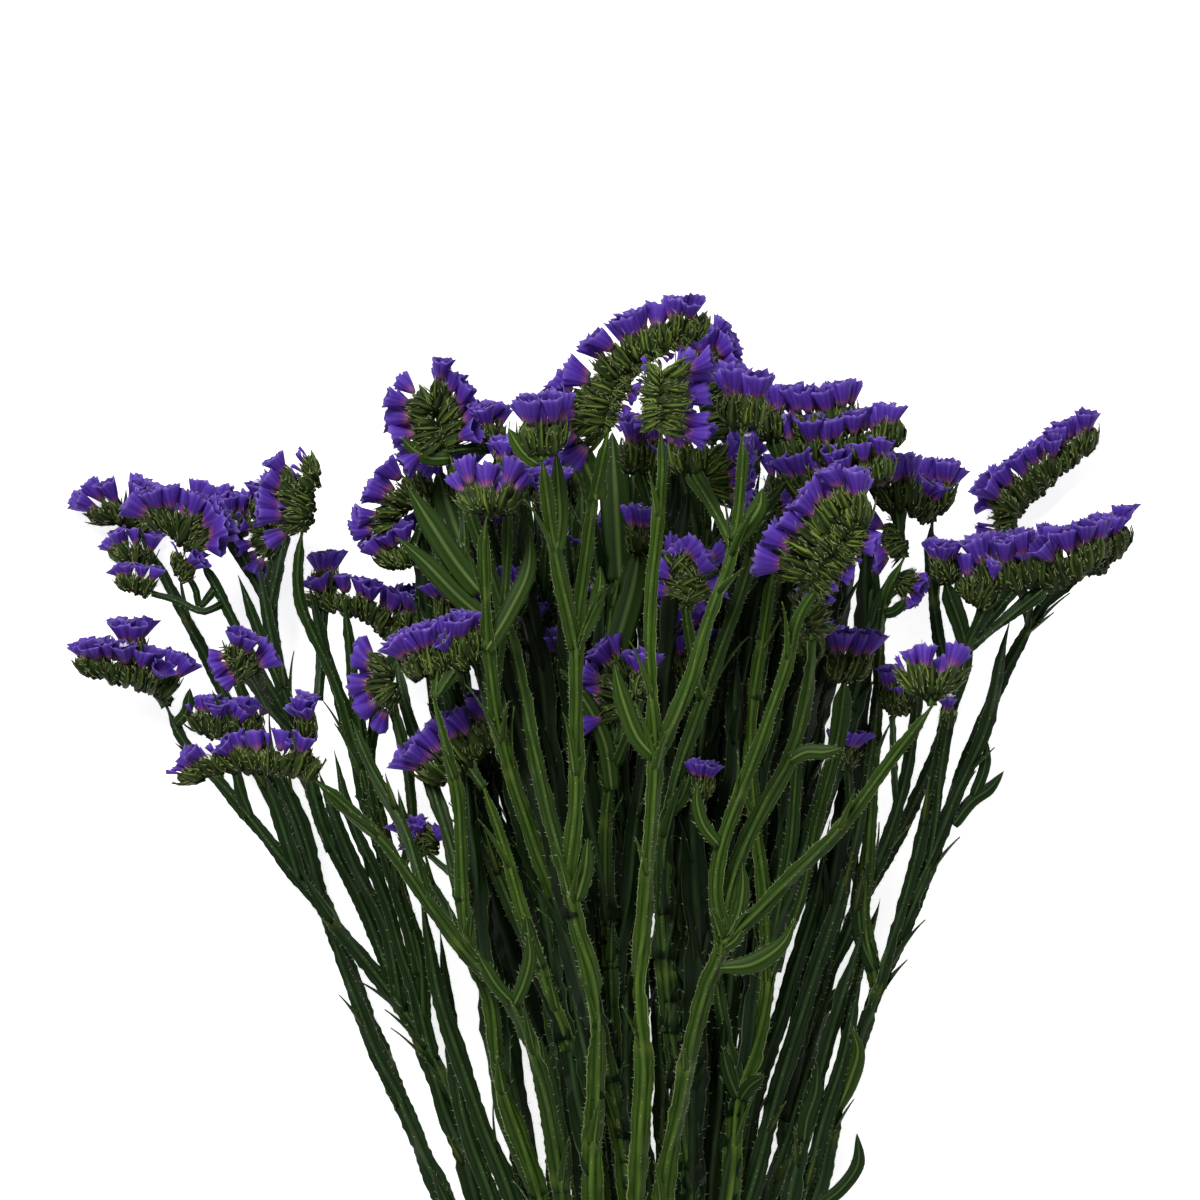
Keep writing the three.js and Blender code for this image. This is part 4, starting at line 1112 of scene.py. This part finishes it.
def spike_seat(traced, height):
    """Where a stalk meets a spike: at the foot of its axis, or at the middle if it is even."""
    axis, _, leans, *_ = traced
    return place(*axis[1 if leans[0] < EVEN_LEAN else 0], height)


PATHS = {}
TOPS = {}
for name, (row, slot, top, route) in STEMS.items():
    PATHS[name], TOPS[name] = stem_points(row, slot, top, trace(route)), top
for name, (carrier, top, route) in BRANCHES.items():
    route = trace(route)
    PATHS[name], TOPS[name] = raised(route, height_at(PATHS[carrier], *route[0]), top), top

# Main stems and branches, with bracts at their joints and in between.
for index, (name, top) in enumerate(TOPS.items()):
    main = name in STEMS
    path, run = thinned(*smooth_path(PATHS[name], STEM_STEP))
    reseed(STEM_SEED + index)
    shape = Shape()
    joints = joints_on(name, path, run)
    between = list(np.arange(run[-1] - 25, 150, -rng.uniform(40, 60))) if main else [run[-1] * 0.55]
    shade = LIT.get(name, stem_shade(top, PATHS[name][-1][0] * PIXELS_PER_MM + PICTURE_CENTRE))
    winged_stalk(shape, path, run, 1.0 if main else BRANCH_SCALE, STEM_WAVES + 40 * index, shade,
                 STEM_TAPER if main else STALK_TAPER, joints=joints + between, main=main, headed=True)
    for joint in joints + between:
        ranges = [(-0.5, 0.9), (2.3, 3.6)] if joint in joints else [(-0.4, 3.5)]
        for turn in [rng.uniform(*bounds) for bounds in ranges]:
            joint_bract(shape, path, run, joint, rng.uniform(9, 22), rng.uniform(3.2, 4.6), turn, shade)
    add_piece(shape, name + "_winged", STEM_LOOKS, "stem_green" if main else "branch_green", name)

# Leaves that stand clear of the stems.
for index, (on, (low, high), route) in enumerate(LEAVES):
    reseed(LEAF_SEED + index)
    name = "leaf_%02d" % (index + 1)
    add_leaf(name + "_blade", on, route, low, high - low, LEAF_WIDTH, LEAF_STYLE, LEAF_SHADE, name)

# Flower heads. The first spike's stalk has the traced bends, and the others fork from its last bend.
for index, (on, height, stalk, spikes) in enumerate(HEADS):
    name = "flower_head_%02d" % (index + 1)
    shape = Shape()
    axis = spikes[0][0]
    shade = stem_shade(height, axis[0][0])
    bends = PATHS[on][-1:]
    if stalk:
        stalk = trace(stalk)
        bends = raised(stalk + axis[:2], height_at(PATHS[on], *stalk[0]), height)[:-2]
    for k, traced in enumerate(spikes):
        seat = spike_seat(traced, height)
        route = [*bends, seat] if stalk and k == 0 else [bends[-1], (bends[-1] + seat) / 2, seat]
        path, run = smooth_path(route, STEM_STEP)
        winged_stalk(shape, path, run, STALK_SCALE, HEAD_WAVES + 50 * index + 7 * k, shade, flare=STALK_FLARE)
        spike(shape, traced, height, HEAD_FLOWERS + 31 * index + k, shade)
    add_piece(shape, name + "_full", HEAD_LOOKS, "head_violet", name)

# Side shoots. One without flowers ends in a point and has a bract halfway.
for index, (number, (on, height, scale, route, *spikes)) in enumerate(SHOOTS.items()):
    name = "shoot_%02d" % number
    route = [p if len(p) > 1 else on_carrier(PATHS[on], *p) for p in trace(route)]
    points = raised(route, height_at(PATHS[on], *route[0]), height)
    PATHS[name] = points
    reseed(SHOOT_SEED + index)
    shape = Shape()
    shade = stem_shade(height, route[-1][0])
    path, run = smooth_path(points, SHOOT_STEP)
    winged_stalk(shape, path, run, scale, SHOOT_WAVES + 50 * index, shade, SHOOT_TAPER, point=not spikes)
    if not spikes:
        joint_bract(shape, path, run, run[-1] * 0.5, rng.uniform(8, 18), 2.6, rng.uniform(-0.4, 3.5), shade)
    for k, traced in enumerate(spikes):
        seat = spike_seat(traced, height)
        path, run = smooth_path([points[-1], (points[-1] + seat) / 2 + 0.1, seat], TWIG_STEP)
        winged_stalk(shape, path, run, scale, TWIG_WAVES + 50 * index + k, shade)
        spike(shape, traced, height, SHOOT_FLOWERS + 31 * index + k, shade)
    add_piece(shape, name, HEAD_LOOKS, "head_violet" if spikes else "branch_green")

# Small leaves and long bracts.
for index, (on, width, rise, route) in enumerate(BLADES):
    reseed(BLADE_SEED + index)
    add_leaf("bract_%02d" % (index + 1), on, route, SMALL_LIFT, rise, width, SMALL_STYLE, None)

# Shoots inside the bunch: they leave the low stems and end in leafy points behind the heads. Their colour is
# darkened towards black as painted shade.
reseed(FILL_SEED)
fill_paths = [smooth_path(PATHS[name], 2)[0] for name in FILL_CARRIERS]


def fill_foot(u, v, ceiling):
    """The point below a ceiling, on one of the carriers, that looks nearest to a picture point."""
    found = []
    for path in fill_paths:
        i, gap = nearest(path, u, v)
        if path[i, 2] < ceiling:
            found.append((gap, *path[i]))
    return np.array(min(found)[1:])


for index in range(FILL_COUNT):
    left, spread, tip_rows, foot_rows = FILL_TALL if index % 2 else FILL_SHORT
    share = (index + rng.uniform(0, 1)) / FILL_COUNT
    tip_u = left + spread * share
    tip_v = rng.uniform(*tip_rows)
    foot_v = rng.uniform(*foot_rows)
    foot_u = FILL_CENTRE + (tip_u - FILL_CENTRE) * rng.uniform(0.3, 0.6)
    foot = fill_foot(foot_u, foot_v, FILL_CEILING)
    tip = place(tip_u, tip_v, rng.uniform(16, 60))
    bow = np.array([rng.uniform(-7, 7), 0, rng.uniform(-4, 4)])
    points = [foot, foot + (tip - foot) * 0.3 + bow * 0.6, foot + (tip - foot) * 0.65 + bow, tip]
    path, run = smooth_path(points, FILL_STEP)
    shape = Shape()
    # Painted shade, past the darkest green towards black.
    shade = rng.uniform(1.1, 1.7)
    winged_stalk(shape, path, run, rng.uniform(0.8, 1.2), FILL_WAVES + 50 * index, shade, FILL_TAPER,
                 point=True, coarse=True)
    for part in (0.35, 0.6, 0.78):
        joint_bract(shape, path, run, run[-1] * part, rng.uniform(12, 26), INNER_BRACT_WIDTH,
                    rng.uniform(-0.4, 3.5), shade, flat=False)
    add_piece(shape, "inner_shoot_%02d" % (index + 1), STEM_LOOKS, "branch_green")

# The pale surface, the light and the camera.
floor_mesh = bpy.data.meshes.new("floor")
floor_mesh.from_pydata([(-3, -3, 0), (3, -3, 0), (3, 3, 0), (-3, 3, 0)], [], [(0, 1, 2, 3)])
floor = bpy.data.objects.new("floor", floor_mesh)
bpy.context.scene.collection.objects.link(floor)
surface = plain_material("surface", "fafafa", "f7f7f7", 0.9)
surface.node_tree.nodes["Principled BSDF"].inputs["Emission Color"].default_value = (1, 1, 1, 1)
surface.node_tree.nodes["Principled BSDF"].inputs["Emission Strength"].default_value = 0.78
floor_mesh.materials.append(surface)

world = bpy.data.worlds.new("studio")
bpy.context.scene.world = world
world.use_nodes = True
world.node_tree.nodes["Background"].inputs["Color"].default_value = (1, 1, 1, 1)
world.node_tree.nodes["Background"].inputs["Strength"].default_value = 0.2


def softbox(name, location, size, power):
    """A square area light that faces the bunch."""
    data = bpy.data.lights.new(name, "AREA")
    data.shape = "SQUARE"
    data.size = size
    data.energy = power
    lamp = bpy.data.objects.new(name, data)
    lamp.location = location
    lamp.rotation_euler = (Vector((0, 0.1, 0.05)) - Vector(location)).to_track_quat("-Z", "Y").to_euler()
    bpy.context.scene.collection.objects.link(lamp)


softbox("key", (-0.55, 1.25, 1.5), 0.8, 31)
softbox("fill", (0.8, -0.3, 1.8), 1.2, 5)

camera_data = bpy.data.cameras.new("camera")
camera_data.sensor_width = 36
camera_data.lens = camera_data.sensor_width * (EYE_HEIGHT - TRACED_HEIGHT) / (PICTURE / PIXELS_PER_MM)
camera = bpy.data.objects.new("camera", camera_data)
camera.location = (CENTRE_X * 0.001, CENTRE_Y * 0.001, EYE_HEIGHT * 0.001)
bpy.context.scene.collection.objects.link(camera)
bpy.context.scene.camera = camera
bpy.context.scene.view_settings.view_transform = "Standard"
